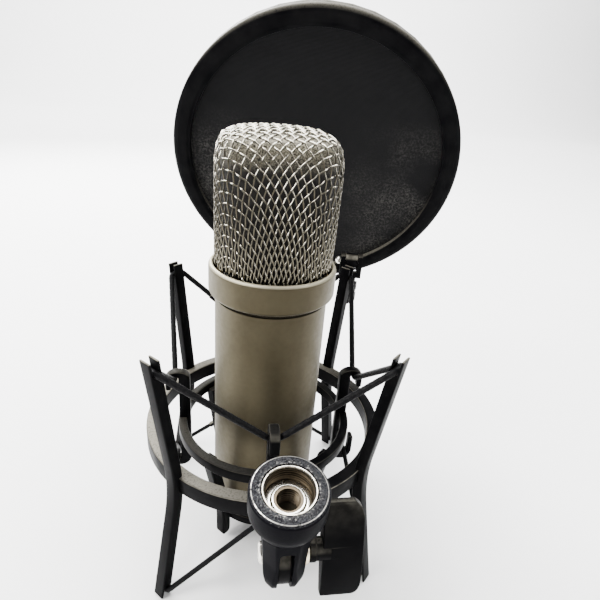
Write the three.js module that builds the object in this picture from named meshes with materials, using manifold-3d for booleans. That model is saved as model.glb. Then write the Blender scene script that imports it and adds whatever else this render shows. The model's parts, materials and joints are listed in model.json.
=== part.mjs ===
// Side-address condenser microphone, standing in an elastic-suspension shock mount
// with a swivelling stand adapter and a round pop shield.
// Millimetres, +Z up. The microphone's axis is the Z axis while the parts are made;
// the finished assembly is then moved so that its origin is the middle of its footprint.
import * as THREE from 'three';
import { mergeVertices } from 'three/addons/utils/BufferGeometryUtils.js';
import Module from 'manifold-3d';

const wasm = await Module();
wasm.setup();

// ---------------------------------------------------------------- driving dimensions

const GAP = 0.3;                  // between pieces that touch
const ROUND = 36;                 // segments of a large turned piece
const SMALL = 20;                 // segments of a small turned piece

// Microphone
const BODY_R = 24.5;
const BODY_INNER_R = 22.6;
const BODY_Z = [21, 129.8];
const COLLAR_R = 27.3;
const COLLAR_Z = [130.1, 143.4];
const GRILLE_R = 25;
const GRILLE_TOP_Z = 198;
const GRILLE_WALL = 1.3;
const STUB_R = 12;                // threaded stub under the body, round the connector
const STUB_Z = [8, 18];
const CAPSULE_Z = 170;
const CAPSULE_R = 17;

// Shock mount
const OUTER_RING = { outer: 56.4, inner: 50.8, z: [55.7, 63.7] };
const INNER_RING = { outer: 41.7, inner: 37.7, z: [57.7, 62.7] };
const POST = { width: 4.8, thick: 5.5, topR: 64.6, topZ: 123.5, bendR: 55.6, bendZ: 57, footR: 66.3 };
const POST_AZIMUTH = Math.PI / 4;
const FORK_SLOT = 2.8;
const HOOK = {
  thick: 4.3, innerR: 36, outerR: 47.1, bar: 5.2, finger: 2.4, archRise: 4, topZ: 88.4, bottomZ: 32.2,
};
const LEG = { thick: 5, wide: 5, topR: 37.2, footR: 28.1, footZ: 4.5 };
const UPPER_CORD = { diameter: 2.2, headZ: 118.2, hookZ: 84.6 };
const LOWER_CORD = { diameter: 2, headZ: 3.7, hookZ: 37.6 };
const SPLICE_SHARE = 0.55;        // place of the ferrule on its span, from the hook
const BASE_Z = [13.2, 17.7];
const LOCK_R = 18.2;
const LOCK_Z = [4.2, 12.9];

// Stand adapter, measured from its pivot along its own axis
const PIVOT = new THREE.Vector3(1.2, -75, 60.3);
const ADAPTER_TILT = THREE.MathUtils.degToRad(8.3);
const MOUTH_S = 37;
const MOUTH_R = 13.5;
const KNOB_TILT = THREE.MathUtils.degToRad(-14.6);
const CHEEK_R = 11.5;
const CHEEK_X = 7.3;              // half the neck's width at the pivot
const BORE_FLOOR = 23.4;
const BORE_R = 9.6;
const REDUCER_TOP = 31.6;
const TONGUE = { thick: 4.4, endR: 9 };
const BOLT_R = 2.5;
const BOLT_HEAD = { r: 4.2, x: [-8.6, -5.9] };
const BOLT_END_X = 15;
const WASHER_X = [7.6, 9.6];
const KNOB = { half: 19.4, thick: 6.2, x: [14.6, 29.8], bossR: 4.7 };

// Pop shield
const SHIELD_CENTRE = new THREE.Vector3(25.8, 65.3, 172.1);
const SHIELD_R = 75.5;
const SHIELD_SIDES = 44;
const SHIELD_YAW = THREE.MathUtils.degToRad(-10.9);
const SHIELD_LEAN = THREE.MathUtils.degToRad(17.8);
const ARM_PIVOT = { side: 25.6, back: -5.2, up: -48.3 };    // from the shield's centre
const RIM_PIVOT = { below: 78.2, front: 1 };                // in the shield's own plane
const BRACKET_Z = [102, 113.5];   // block on the post
const BRACKET_SCREW_Z = 108;
const ARM_HALF = 3.3;             // half width of the arm's eye
const LUG = 2.4;                  // thickness of each of the bracket's lugs
const ARM_SCREW_R = 1.5;
const RIM_PIN_R = 1.1;
const EAR = { inside: 1.8, outside: 3.2 };

// ---------------------------------------------------------------- solids

// A closed geometry as a manifold, with its faces turned outwards.
function solid(geometry) {
  const bare = geometry.clone();
  bare.deleteAttribute('normal');
  bare.deleteAttribute('uv');
  const merged = mergeVertices(bare, 1e-4);
  const vertProperties = new Float32Array(merged.attributes.position.array);
  const triVerts = new Uint32Array(merged.index.array);
  if (signedVolume(vertProperties, triVerts) < 0) triVerts.reverse();
  return new wasm.Manifold(new wasm.Mesh({ numProp: 3, vertProperties, triVerts }));
}

function signedVolume(points, triangles) {
  const corner = (i) => new THREE.Vector3().fromArray(points, triangles[i] * 3);
  let volume = 0;
  for (let i = 0; i < triangles.length; i += 3) {
    volume += corner(i).dot(corner(i + 1).cross(corner(i + 2))) / 6;
  }
  return volume;
}

function geometryOf(manifold) {
  const mesh = manifold.getMesh();
  const geometry = new THREE.BufferGeometry();
  geometry.setAttribute('position', new THREE.BufferAttribute(mesh.vertProperties, mesh.numProp));
  geometry.setIndex(new THREE.BufferAttribute(mesh.triVerts, 1));
  return geometry;
}

const join = (first, ...rest) => rest.reduce((sum, piece) => sum.add(piece), first);
const cut = (base, ...tools) => tools.reduce((rest, tool) => rest.subtract(tool), base);

// ---------------------------------------------------------------- shapes

// A ring or disc turned about Z from [radius, height] pairs; the profile closes on itself.
function turned(profile, segments = ROUND) {
  const points = [...profile, profile[0]].map(([r, z]) => new THREE.Vector2(r, z));
  return solid(new THREE.LatheGeometry(points, segments).rotateX(Math.PI / 2));
}

const tube = (outer, inner, z0, z1, segments) =>
  turned([[inner, z0], [outer, z0], [outer, z1], [inner, z1]], segments);

// A flat ring with its two top edges bevelled.
function hoop({ outer, inner, z: [z0, z1] }, bevel, segments) {
  return turned([
    [inner, z0], [outer, z0], [outer, z1 - bevel], [outer - bevel, z1],
    [inner + bevel, z1], [inner, z1 - bevel],
  ], segments);
}

function cylinder(radius, z0, z1, segments = SMALL) {
  const geometry = new THREE.CylinderGeometry(radius, radius, z1 - z0, segments);
  return solid(geometry.rotateX(Math.PI / 2).translate(0, 0, (z0 + z1) / 2));
}

function box(x, y, z) {
  const size = [x, y, z].map(([low, high]) => high - low);
  const middle = [x, y, z].map(([low, high]) => (low + high) / 2);
  return solid(new THREE.BoxGeometry(...size).translate(...middle));
}

// A shape drawn in (along, up), extruded to both sides of the X-Z plane.
function plate(shape, thick, curveSegments = 6) {
  const geometry = new THREE.ExtrudeGeometry(shape, { depth: thick, bevelEnabled: false, curveSegments });
  return solid(geometry.translate(0, 0, -thick / 2).rotateX(Math.PI / 2));
}

// A shape drawn in (y, z), extruded along X from x0 to x1.
function sidePlate(shape, x0, x1, curveSegments = 6) {
  const settings = { depth: x1 - x0, bevelEnabled: false, curveSegments };
  const geometry = new THREE.ExtrudeGeometry(shape, settings).translate(0, 0, x0);
  const X = new THREE.Vector3(1, 0, 0);
  const Y = new THREE.Vector3(0, 1, 0);
  const Z = new THREE.Vector3(0, 0, 1);
  return solid(geometry.applyMatrix4(new THREE.Matrix4().makeBasis(Y, Z, X)));
}

function outline(points) {
  return new THREE.Shape(points.map(([x, y]) => new THREE.Vector2(x, y)));
}

const alongX = (manifold) => manifold.rotate([0, 90, 0]);
const alongY = (manifold) => manifold.rotate([-90, 0, 0]);

// ---------------------------------------------------------------- finishes and scene

function finish(color, roughness, metalness) {
  return new THREE.MeshStandardMaterial({ color, roughness, metalness });
}

const NICKEL = finish(0xa9a08c, 0.42, 0.7);
const BRIGHT_WIRE = finish(0xb9b5aa, 0.3, 0.95);
const BRASS = finish(0xb39a5c, 0.35, 0.9);
const BLACK_PLASTIC = finish(0x1b1b1c, 0.5, 0.05);
const BLACK_PAINT = finish(0x242528, 0.55, 0.4);
const BLACK_CORD = finish(0x202020, 0.85, 0);
const BLACK_MESH = finish(0x121314, 0.9, 0);
const SILVER = finish(0xc9c6bd, 0.3, 0.95);
const GOLD_FILM = finish(0xc8a85a, 0.25, 0.9);
const BOARD = finish(0x2d5a3a, 0.6, 0);
const RUBBER = finish(0x303030, 0.8, 0);

const assembly = new THREE.Group();

function add(name, manifold, material, parent = assembly) {
  const mesh = new THREE.Mesh(geometryOf(manifold), material);
  mesh.name = name;
  parent.add(mesh);
  return mesh;
}

// ---------------------------------------------------------------- microphone body

function makeBody() {
  const chamfer = 2.2;
  add('body_tube', turned([
    [BODY_INNER_R, BODY_Z[0]], [BODY_R - chamfer / 2, BODY_Z[0]], [BODY_R, BODY_Z[0] + chamfer * 1.6],
    [BODY_R, BODY_Z[1]], [BODY_INNER_R, BODY_Z[1]],
  ]), NICKEL);

  const plug = BODY_INNER_R - GAP;
  add('base_plate', turned([
    [9.8, STUB_Z[0]], [STUB_R, STUB_Z[0]], [STUB_R, STUB_Z[1]], [20.8, STUB_Z[1]],
    [plug, STUB_Z[1] + 1.6], [plug, 25], [9.8, 25],
  ], 32), NICKEL);

  // The collar has an inward floor that the head sits on, and a thin lip round the grille.
  add('collar_ring', turned([
    [20, COLLAR_Z[0]], [COLLAR_R - 1.4, COLLAR_Z[0]], [COLLAR_R, COLLAR_Z[0] + 1.4],
    [COLLAR_R, COLLAR_Z[1] - 0.7], [COLLAR_R - 0.7, COLLAR_Z[1]], [GRILLE_R + 0.5, COLLAR_Z[1]],
    [GRILLE_R + 0.5, COLLAR_Z[0] + 3], [20, COLLAR_Z[0] + 3],
  ]), NICKEL);
}

// ---------------------------------------------------------------- grille

// The basket is round at the collar and grows flatter towards the front and back higher up.
// Each level is [height share, half width, half depth, squareness].
const GRILLE_LEVELS = [
  [0, 1, 1, 2], [0.2, 1, 0.985, 2.3], [0.45, 1, 0.96, 2.7], [0.7, 1, 0.92, 3.1],
  [0.83, 0.985, 0.87, 3.2], [0.92, 0.92, 0.79, 3.1], [0.97, 0.8, 0.66, 2.9], [1, 0.56, 0.44, 2.6],
];

function basketSection(share, wide, deep, squareness, inset, segments) {
  const ring = [];
  for (let i = 0; i < segments; i++) {
    const angle = (i / segments) * 2 * Math.PI;
    const [c, s] = [Math.cos(angle), Math.sin(angle)];
    const reach = (Math.abs(c) ** squareness + Math.abs(s) ** squareness) ** (-1 / squareness);
    ring.push([c * reach * (GRILLE_R * wide - inset), s * reach * (GRILLE_R * deep - inset)]);
  }
  return ring;
}

// An open-bottomed shell: the outer skin, the inner skin turned inside out, and a flat rim.
function basket(inset, wall, bottomZ, segments) {
  const positions = [];
  const index = [];
  const skins = [inset, inset + wall].map((skinInset) => {
    const rings = GRILLE_LEVELS.map(([share, wide, deep, squareness]) => {
      const first = positions.length / 3;
      const z = THREE.MathUtils.lerp(bottomZ, GRILLE_TOP_Z - skinInset, share);
      for (const [x, y] of basketSection(share, wide, deep, squareness, skinInset, segments)) {
        positions.push(x, y, z);
      }
      return first;
    });
    const crown = positions.length / 3;
    positions.push(0, 0, GRILLE_TOP_Z - skinInset + 0.8);
    return { rings, crown };
  });
  const quad = (a, b, c, d) => index.push(a, b, c, a, c, d);
  for (let i = 0; i < segments; i++) {
    const next = (i + 1) % segments;
    skins.forEach(({ rings, crown }, skin) => {
      for (let level = 0; level + 1 < rings.length; level++) {
        const [low, high] = [rings[level], rings[level + 1]];
        if (skin === 0) quad(low + i, low + next, high + next, high + i);
        else quad(low + i, high + i, high + next, low + next);
      }
      const top = rings[rings.length - 1];
      if (skin === 0) index.push(top + i, top + next, crown);
      else index.push(top + next, top + i, crown);
    });
    const [outer, inner] = [skins[0].rings[0], skins[1].rings[0]];
    quad(outer + i, inner + i, inner + next, outer + next);
  }
  const geometry = new THREE.BufferGeometry();
  geometry.setAttribute('position', new THREE.Float32BufferAttribute(positions, 3));
  geometry.setIndex(index);
  return solid(geometry);
}

function makeGrille() {
  const floor = COLLAR_Z[0] + 3 + GAP;
  add('grille_outer_mesh', basket(0, GRILLE_WALL, floor + 5, 32), BRIGHT_WIRE);
  add('grille_inner_mesh', basket(GRILLE_WALL + GAP, 0.8, floor + 5, 20), BRIGHT_WIRE);
  add('grille_base_ring', tube(24.6, 22.9, floor, floor + 4.6, 32), BRASS);
}

// ---------------------------------------------------------------- capsule and chassis

function makeCapsule() {
  const floor = COLLAR_Z[0] + 3 + GAP;
  const platformTop = floor + 2.6;
  const screwX = 16.7;
  const screwHole = (x) => cylinder(1.5, floor - 4, platformTop + 1, 10).translate([x, 0, 0]);

  const platform = cut(cylinder(22.5, floor, platformTop, 32), screwHole(screwX), screwHole(-screwX));
  add('capsule_platform', platform, SILVER);
  for (const [name, x] of [['chassis_rail_left', -screwX], ['chassis_rail_right', screwX]]) {
    const rail = box([x - 1.8, x + 1.8], [-2.5, 2.5], [25 + GAP, floor - GAP]);
    add(name, cut(rail, screwHole(x)), SILVER);
  }
  for (const [name, x] of [['chassis_screw_left', -screwX], ['chassis_screw_right', screwX]]) {
    const shank = cylinder(1.2, floor - 3, platformTop + 1, 10);
    const head = cylinder(2.4, platformTop + GAP, platformTop + 1.7, 10);
    add(name, join(shank, head).translate([x, 0, 0]), SILVER);
  }
  add('circuit_board', box([-14.4, 14.4], [-0.8, 0.8], [32, 128]), BOARD);

  // The capsule looks forwards and backwards, so its disc stands on edge.
  const across = (manifold, y) => alongY(manifold).translate([0, y, CAPSULE_Z]);
  const half = 3;
  add('capsule_backplate', across(cylinder(14.4, -half, half, 28), 0), BRASS);
  for (const [name, side] of [['front', -1], ['rear', 1]]) {
    const film = across(cylinder(14, 0, 0.4, 28), side > 0 ? half + GAP : -half - GAP - 0.4);
    const ring = across(tube(CAPSULE_R, 12.4, 0, 1.6, 28), side > 0 ? half + 1 : -half - 2.6);
    add(`diaphragm_${name}`, film, GOLD_FILM);
    add(`clamp_ring_${name}`, ring, BRASS);
  }
  const bed = across(cylinder(CAPSULE_R + GAP, -8, 8, 28), 0);
  const saddle = box([-10, 10], [-4.4, 4.4], [platformTop + GAP, CAPSULE_Z - CAPSULE_R + 3]);
  add('capsule_saddle', cut(saddle, bed), RUBBER);
}

// ---------------------------------------------------------------- connector

function makeConnector() {
  const faceZ = 14;
  add('xlr_shell', tube(9.5, 8.1, STUB_Z[0] + 0.4, 24, 28), SILVER);
  const pinPlaces = [[-3.5, 0.6], [3.5, 0.6], [0, -3.4]];
  const at = (manifold, [x, y]) => manifold.translate([x, y, 0]);
  const holes = pinPlaces.map((place) => at(cylinder(1.5, faceZ - 1, 25, 12), place));
  add('xlr_insert', cut(cylinder(7.8, faceZ, 24, 28), ...holes), BLACK_PLASTIC);
  pinPlaces.forEach((place, i) => {
    add(`xlr_pin_${i + 1}`, at(cylinder(1.2, STUB_Z[0] + 1.4, 24.6, 12), place), SILVER);
  });
}

// ---------------------------------------------------------------- outer frame

// Radius of a post's middle line at a height.
function postR(z) {
  const { topR, topZ, bendR, bendZ, footR } = POST;
  if (z > bendZ) return THREE.MathUtils.mapLinear(z, bendZ, topZ, bendR, topR);
  return THREE.MathUtils.mapLinear(z, 0, bendZ, footR, bendR);
}

// One post seen from the side: a bent bar, optionally grown by a margin.
function postShape(margin = 0) {
  const half = POST.width / 2 + margin;
  const bendSpan = 13;
  const low = POST.bendZ - bendSpan;
  const high = POST.bendZ + bendSpan;
  const top = POST.topZ + margin;
  const bottom = -margin;
  const bevel = 0.3;
  const shape = new THREE.Shape();
  shape.moveTo(postR(0) - half, bottom + bevel);
  shape.lineTo(postR(0) - half + bevel, bottom);
  shape.lineTo(postR(0) + half - bevel, bottom);
  shape.lineTo(postR(0) + half, bottom + bevel);
  shape.lineTo(postR(low) + half, low);
  shape.quadraticCurveTo(postR(POST.bendZ) + half, POST.bendZ, postR(high) + half, high);
  shape.lineTo(postR(top) + half, top - bevel);
  shape.lineTo(postR(top) + half - bevel, top);
  shape.lineTo(postR(top) - half + bevel, top);
  shape.lineTo(postR(top) - half, top - bevel);
  shape.lineTo(postR(high) - half, high);
  shape.quadraticCurveTo(postR(POST.bendZ) - half, POST.bendZ, postR(low) - half, low);
  shape.closePath();
  return shape;
}

// Round-bottomed slot that the elastic runs through, at the top or the foot of a post.
function forkSlot(cordZ, endZ) {
  const half = FORK_SLOT / 2;
  const beyondZ = endZ + Math.sign(endZ - cordZ) * 2;
  const [r, beyondR] = [postR(cordZ), postR(beyondZ)];
  const round = alongY(cylinder(half, -8, 8, 16)).translate([r, 0, cordZ]);
  const way = outline([
    [r - half, cordZ], [r + half, cordZ], [beyondR + half, beyondZ], [beyondR - half, beyondZ],
  ]);
  return join(round, plate(way, 16));
}

function makeFrame() {
  const { outer, inner, z } = OUTER_RING;
  const ringNotch = tube(outer + GAP, inner - 4, z[0] - GAP, z[1] + GAP);
  const bar = plate(postShape(), POST.thick);
  const post = cut(bar, ringNotch, forkSlot(UPPER_CORD.headZ, POST.topZ), forkSlot(LOWER_CORD.headZ, 0));
  const drill = alongX(cylinder(1.5, postR(BRACKET_SCREW_Z) - 1, 80, 12));
  const screwHole = drill.translate([0, 0, BRACKET_SCREW_Z]);
  const names = ['post_back_right', 'post_back_left', 'post_front_left', 'post_front_right'];
  names.forEach((name, i) => {
    const mesh = add(name, i === 0 ? cut(post, screwHole) : post, BLACK_PLASTIC);
    mesh.rotation.z = POST_AZIMUTH + i * Math.PI / 2;
  });

  // The ring carries a tongue at the front that the stand adapter turns on.
  const ring = hoop(OUTER_RING, 0.7, 48);
  const tongue = new THREE.Shape();
  const root = -(inner + 2);
  tongue.moveTo(root, z[0]);
  tongue.lineTo(root, z[1]);
  tongue.lineTo(PIVOT.y, PIVOT.z + TONGUE.endR);
  tongue.absarc(PIVOT.y, PIVOT.z, TONGUE.endR, Math.PI / 2, Math.PI * 1.5, false);
  tongue.closePath();
  const boss = box([PIVOT.x - 7, PIVOT.x + 7], [-(outer + 2.4), root], [z[0], z[1] - 0.8]);
  const eye = alongX(cylinder(BOLT_R + GAP, -8, 8)).translate([PIVOT.x, PIVOT.y, PIVOT.z]);
  const half = TONGUE.thick / 2;
  const tonguePlate = sidePlate(tongue, PIVOT.x - half, PIVOT.x + half, 8);
  add('outer_ring', cut(join(ring, tonguePlate, boss), eye), BLACK_PLASTIC);
}

// ---------------------------------------------------------------- cradle

// A tall bar with a hook at each end; the elastics pull the two hooks apart.
function hookShape() {
  const { innerR, outerR, bar, finger, archRise, topZ, bottomZ } = HOOK;
  const archR = (outerR - innerR) / 2;
  const middle = innerR + archR;
  const slotR = (outerR - finger - innerR - bar) / 2;
  const slotMiddle = innerR + bar + slotR;
  const archZ = topZ - archRise;
  const cupZ = bottomZ + archR;
  const shape = new THREE.Shape();
  shape.moveTo(innerR, cupZ);
  shape.absarc(middle, cupZ, archR, Math.PI, 2 * Math.PI, false);
  shape.lineTo(outerR, cupZ + 9);
  shape.lineTo(outerR - 0.8, cupZ + 9.8);
  shape.lineTo(outerR - finger, cupZ + 8.6);
  shape.lineTo(outerR - finger, cupZ);
  shape.absarc(slotMiddle, cupZ, slotR, 0, -Math.PI, true);
  shape.lineTo(innerR + bar, archZ);
  shape.absarc(slotMiddle, archZ, slotR, Math.PI, 0, true);
  shape.lineTo(outerR - finger, archZ - 5.6);
  shape.lineTo(outerR - 0.8, archZ - 6.2);
  shape.lineTo(outerR, archZ - 5.4);
  shape.lineTo(outerR, archZ);
  shape.absellipse(middle, archZ, archR, archRise, 0, Math.PI, false, 0);
  shape.closePath();
  return shape;
}

// A leg leans in from the ring to its foot, where it turns upright beside the base.
function legShape() {
  const { wide, topR, footR, footZ } = LEG;
  const half = wide / 2;
  const top = INNER_RING.z[0] - GAP;
  const kneeZ = 22;
  const shape = new THREE.Shape();
  shape.moveTo(topR - half, top);
  shape.lineTo(footR - half, kneeZ);
  shape.lineTo(footR - half, footZ + half);
  shape.absarc(footR, footZ + half, half, Math.PI, 2 * Math.PI, false);
  shape.lineTo(footR + half, kneeZ - 2);
  shape.lineTo(topR + half, top);
  shape.closePath();
  return shape;
}

function makeCradle() {
  const { outer, inner, z } = INNER_RING;
  add('cradle_ring', hoop(INNER_RING, 0.6, 40), BLACK_PLASTIC);

  const notch = tube(outer + GAP, inner - GAP, z[0] - GAP, z[1] + GAP, 40);
  const hook = cut(plate(hookShape(), HOOK.thick, 5), notch);
  ['hook_right', 'hook_rear', 'hook_left', 'hook_front'].forEach((name, i) => {
    add(name, hook, BLACK_PLASTIC).rotation.z = i * Math.PI / 2;
  });

  const baseR = LEG.footR - LEG.wide / 2 - GAP;
  const baseRoom = cylinder(baseR + GAP, BASE_Z[0] - GAP, BASE_Z[1] + GAP, 48);
  const leg = cut(plate(legShape(), LEG.thick, 5), baseRoom);
  ['leg_back_right', 'leg_back_left', 'leg_front_left', 'leg_front_right'].forEach((name, i) => {
    add(name, leg, BLACK_PLASTIC).rotation.z = POST_AZIMUTH + i * Math.PI / 2;
  });
  add('cradle_base', tube(baseR, STUB_R + GAP, BASE_Z[0], BASE_Z[1], 36), BLACK_PLASTIC);

  // Lock ring on the threaded stub, with a stepped grip.
  add('lock_ring', turned([
    [STUB_R + GAP, LOCK_Z[0]], [LOCK_R - 1.2, LOCK_Z[0]], [LOCK_R, LOCK_Z[0] + 1.2],
    [LOCK_R, LOCK_Z[1] - 2], [LOCK_R - 1.6, LOCK_Z[1]], [STUB_R + GAP, LOCK_Z[1]],
  ], 36), BLACK_PLASTIC);
}

// ---------------------------------------------------------------- elastics

// Steps along the curve follow its knots, so the tight turns keep their own steps.
class KnotCurve extends THREE.CatmullRomCurve3 {
  getPointAt(u, target) {
    return this.getPoint(u, target);
  }

  getTangentAt(u, target) {
    return this.getTangent(u, target);
  }
}

function polar(azimuth, r, sideways, z) {
  const point = new THREE.Vector3(r, sideways, z);
  return point.applyAxisAngle(new THREE.Vector3(0, 0, 1), azimuth);
}

// One loop: through a post's slot, round a hook, through the next post, back to the splice.
function elasticPoints({ headZ, hookZ }) {
  const hookR = HOOK.innerR + HOOK.bar + (HOOK.outerR - HOOK.finger - HOOK.innerR - HOOK.bar) / 2;
  const loop = [];
  for (let i = 0; i < 4; i++) {
    const hook = Math.PI / 2 + i * Math.PI / 2;
    const post = hook + Math.PI / 4;
    for (const sideways of [-2.9, 0, 2.9]) loop.push(polar(hook, hookR, sideways, hookZ));
    for (const sideways of [-3.7, 0, 3.7]) loop.push(polar(post, postR(headZ), sideways, headZ));
  }
  // The loop is spliced on the span between the rear hook and the back left post.
  const [hookEnd, postEnd] = [loop[2], loop[3]];
  const splice = hookEnd.clone().lerp(postEnd, SPLICE_SHARE);
  const away = postEnd.clone().sub(hookEnd).normalize().multiplyScalar(GAP / 2);
  const start = splice.clone().add(away);
  const end = splice.clone().sub(away);
  return { splice, along: away.normalize(), points: [start, ...loop.slice(3), ...loop.slice(0, 3), end] };
}

function circleShape(radius, segments) {
  const points = [];
  for (let i = 0; i < segments; i++) {
    const angle = (i / segments) * 2 * Math.PI;
    points.push([radius * Math.cos(angle), radius * Math.sin(angle)]);
  }
  return outline(points);
}

function makeElastic(name, cord) {
  const { splice, along, points } = elasticPoints(cord);
  const settings = {
    steps: points.length - 1,
    bevelEnabled: false,
    extrudePath: new KnotCurve(points, false, 'centripetal'),
  };
  const geometry = new THREE.ExtrudeGeometry(circleShape(cord.diameter / 2, 8), settings);
  add(`${name}_elastic`, solid(geometry), BLACK_CORD);
  const bore = cord.diameter / 2 + GAP;
  const sleeve = add(`${name}_ferrule`, tube(bore + 0.7, bore, -4, 4, 16), SILVER);
  sleeve.position.copy(splice);
  sleeve.quaternion.setFromUnitVectors(new THREE.Vector3(0, 0, 1), along);
}

// ---------------------------------------------------------------- stand adapter

function makeAdapter() {
  const group = new THREE.Group();
  group.position.copy(PIVOT);
  group.rotation.x = ADAPTER_TILT;
  assembly.add(group);

  // Socket head, then a neck that narrows into two cheeks either side of the tongue.
  const head = turned([
    [0, 22], [10.8, 22], [MOUTH_R, 26.6], [MOUTH_R, MOUTH_S - 0.8], [MOUTH_R - 0.8, MOUTH_S], [0, MOUTH_S],
  ], 36);
  const side = new THREE.Shape();
  side.moveTo(-CHEEK_R, 0);
  side.absarc(0, 0, CHEEK_R, Math.PI, 2 * Math.PI, false);
  side.lineTo(10.2, 24);
  side.lineTo(-10.2, 24);
  side.closePath();
  const front = outline([
    [-3.7, -12.5], [3.7, -12.5], [CHEEK_X, 0.5], [8.6, 25], [-8.6, 25], [-CHEEK_X, 0.5],
  ]);
  const neck = sidePlate(side, -9, 9, 10).intersect(plate(front, 40));
  const slotHalf = TONGUE.thick / 2 + GAP;
  const slot = box([-slotHalf, slotHalf], [-20, 20], [-14, 16.5]);
  const bore = cylinder(BORE_R, BORE_FLOOR, 40, 32);
  const boltHole = alongX(cylinder(BOLT_R + GAP, -12, 12));
  const seat = alongX(cylinder(BOLT_HEAD.r + 2 * GAP, -12, BOLT_HEAD.x[1] + GAP));
  add('stand_adapter', cut(join(head, neck), slot, bore, boltHole, seat), BLACK_PAINT, group);

  const insertFloor = BORE_FLOOR + GAP;
  add('thread_insert', tube(BORE_R - GAP, 8.1, insertFloor, MOUTH_S - 0.3, 32), SILVER, group);
  add('thread_reducer', turned([
    [4.1, insertFloor], [7.8, insertFloor], [7.8, REDUCER_TOP], [4.7, REDUCER_TOP], [4.1, REDUCER_TOP - 0.6],
  ], 28), SILVER, group);

  const hexHead = alongX(cylinder(BOLT_HEAD.r, ...BOLT_HEAD.x, 6));
  const shank = alongX(cylinder(BOLT_R, BOLT_HEAD.x[1] - 1, BOLT_END_X, 16));
  add('pivot_bolt', join(hexHead, shank), SILVER, group);
  const hole = BOLT_R + GAP;
  const washer = [[hole, WASHER_X[0]], [5.8, WASHER_X[0]], [4.9, WASHER_X[1]], [hole, WASHER_X[1]]];
  add('knob_washer', alongX(turned(washer, 20)), BRASS, group);
}

// The tension knob is a flat paddle on a short boss; it turns on the pivot bolt.
function makeKnob() {
  const group = new THREE.Group();
  group.position.copy(PIVOT);
  group.rotation.x = KNOB_TILT;
  assembly.add(group);
  const { half, thick, x: [x0, x1], bossR } = KNOB;
  const edge = 1.6;
  const side = new THREE.Shape();
  side.moveTo(-edge, -half);
  side.quadraticCurveTo(-thick / 2 - 0.6, 0, -edge, half);
  side.lineTo(edge, half);
  side.quadraticCurveTo(thick / 2 + 0.6, 0, edge, -half);
  side.closePath();
  const front = outline([
    [x0, -half], [x1 - 3, -half], [x1 - 0.8, -half + 1.6], [x1, -half + 4.5],
    [x1, half - 6], [x1 - 1, half - 2.4], [x1 - 3.4, half], [x0, half],
  ]);
  const paddle = sidePlate(side, x0, x1, 8).intersect(plate(front, 20));
  const boss = alongX(cylinder(bossR, WASHER_X[1] + GAP, x0 + 3.4, 18));
  const hole = alongX(cylinder(BOLT_R + GAP, 8, BOLT_END_X + GAP, 16));
  add('tension_knob', cut(join(paddle, boss), hole), BLACK_PLASTIC, group);
}

// ---------------------------------------------------------------- pop shield

// The shield's bracket, arm and disc stand in a frame turned about Z at the disc's centre:
// X runs along the hinges, Y away from the microphone, Z up.
const shieldFrame = new THREE.Group();
shieldFrame.position.copy(SHIELD_CENTRE);
shieldFrame.rotation.z = SHIELD_YAW;
assembly.add(shieldFrame);

// The rim hinge, in the turned frame.
const rimY = RIM_PIVOT.below * Math.sin(SHIELD_LEAN) - RIM_PIVOT.front * Math.cos(SHIELD_LEAN);
const rimZ = -RIM_PIVOT.below * Math.cos(SHIELD_LEAN) - RIM_PIVOT.front * Math.sin(SHIELD_LEAN);
const { side: hingeX, back: armY, up: armZ } = ARM_PIVOT;

function makeShield() {
  const disc = new THREE.Group();
  disc.rotation.x = Math.PI / 2 + SHIELD_LEAN;
  shieldFrame.add(disc);

  // Along the disc's axis the front face is at 0 and the back face at -10.4.
  const frontRing = turned([
    [66.4, -3.4], [66.4, -1], [68, 0], [73.4, 0], [SHIELD_R, -1.4], [SHIELD_R, -5], [67.8, -5], [67.8, -3.4],
  ], SHIELD_SIDES);
  add('shield_front_ring', frontRing, BLACK_PLASTIC, disc);
  add('shield_front_mesh', cylinder(67.4, -4.7, -3.7, SHIELD_SIDES), BLACK_MESH, disc);

  const rearRing = turned([
    [67.8, -10.4], [73.6, -10.4], [SHIELD_R, -9], [SHIELD_R, -5.3], [67.8, -5.3],
  ], SHIELD_SIDES);
  add('shield_rear_mesh', cylinder(67.4, -9.4, -8.4, SHIELD_SIDES), BLACK_MESH, disc);

  // Two ears under the rear ring reach forwards to the rim hinge.
  const ear = outline([
    [-69, -10.4], [-69, -5.3], [-75.4, -5.3], [-75, 0],
    [-76.6, 4.2], [-79.6, 4.6], [-81.6, 1], [-75.8, -10.4],
  ]);
  const spans = [[-EAR.outside, -EAR.inside], [EAR.inside, EAR.outside]];
  const ears = spans.map(([x0, x1]) => sidePlate(ear, hingeX + x0, hingeX + x1));
  const clearance = cut(cylinder(90, -12, 6, SHIELD_SIDES), cylinder(70.5, -14, 8, SHIELD_SIDES));
  const earPair = ears.map((piece) => piece.intersect(clearance));
  const pinHole = alongX(cylinder(RIM_PIN_R + GAP, -20, 20, 12));
  const hinge = [hingeX, -RIM_PIVOT.below, RIM_PIVOT.front];
  add('shield_rear_ring', cut(join(rearRing, ...earPair), pinHole.translate(hinge)), BLACK_PLASTIC, disc);
}

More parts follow.
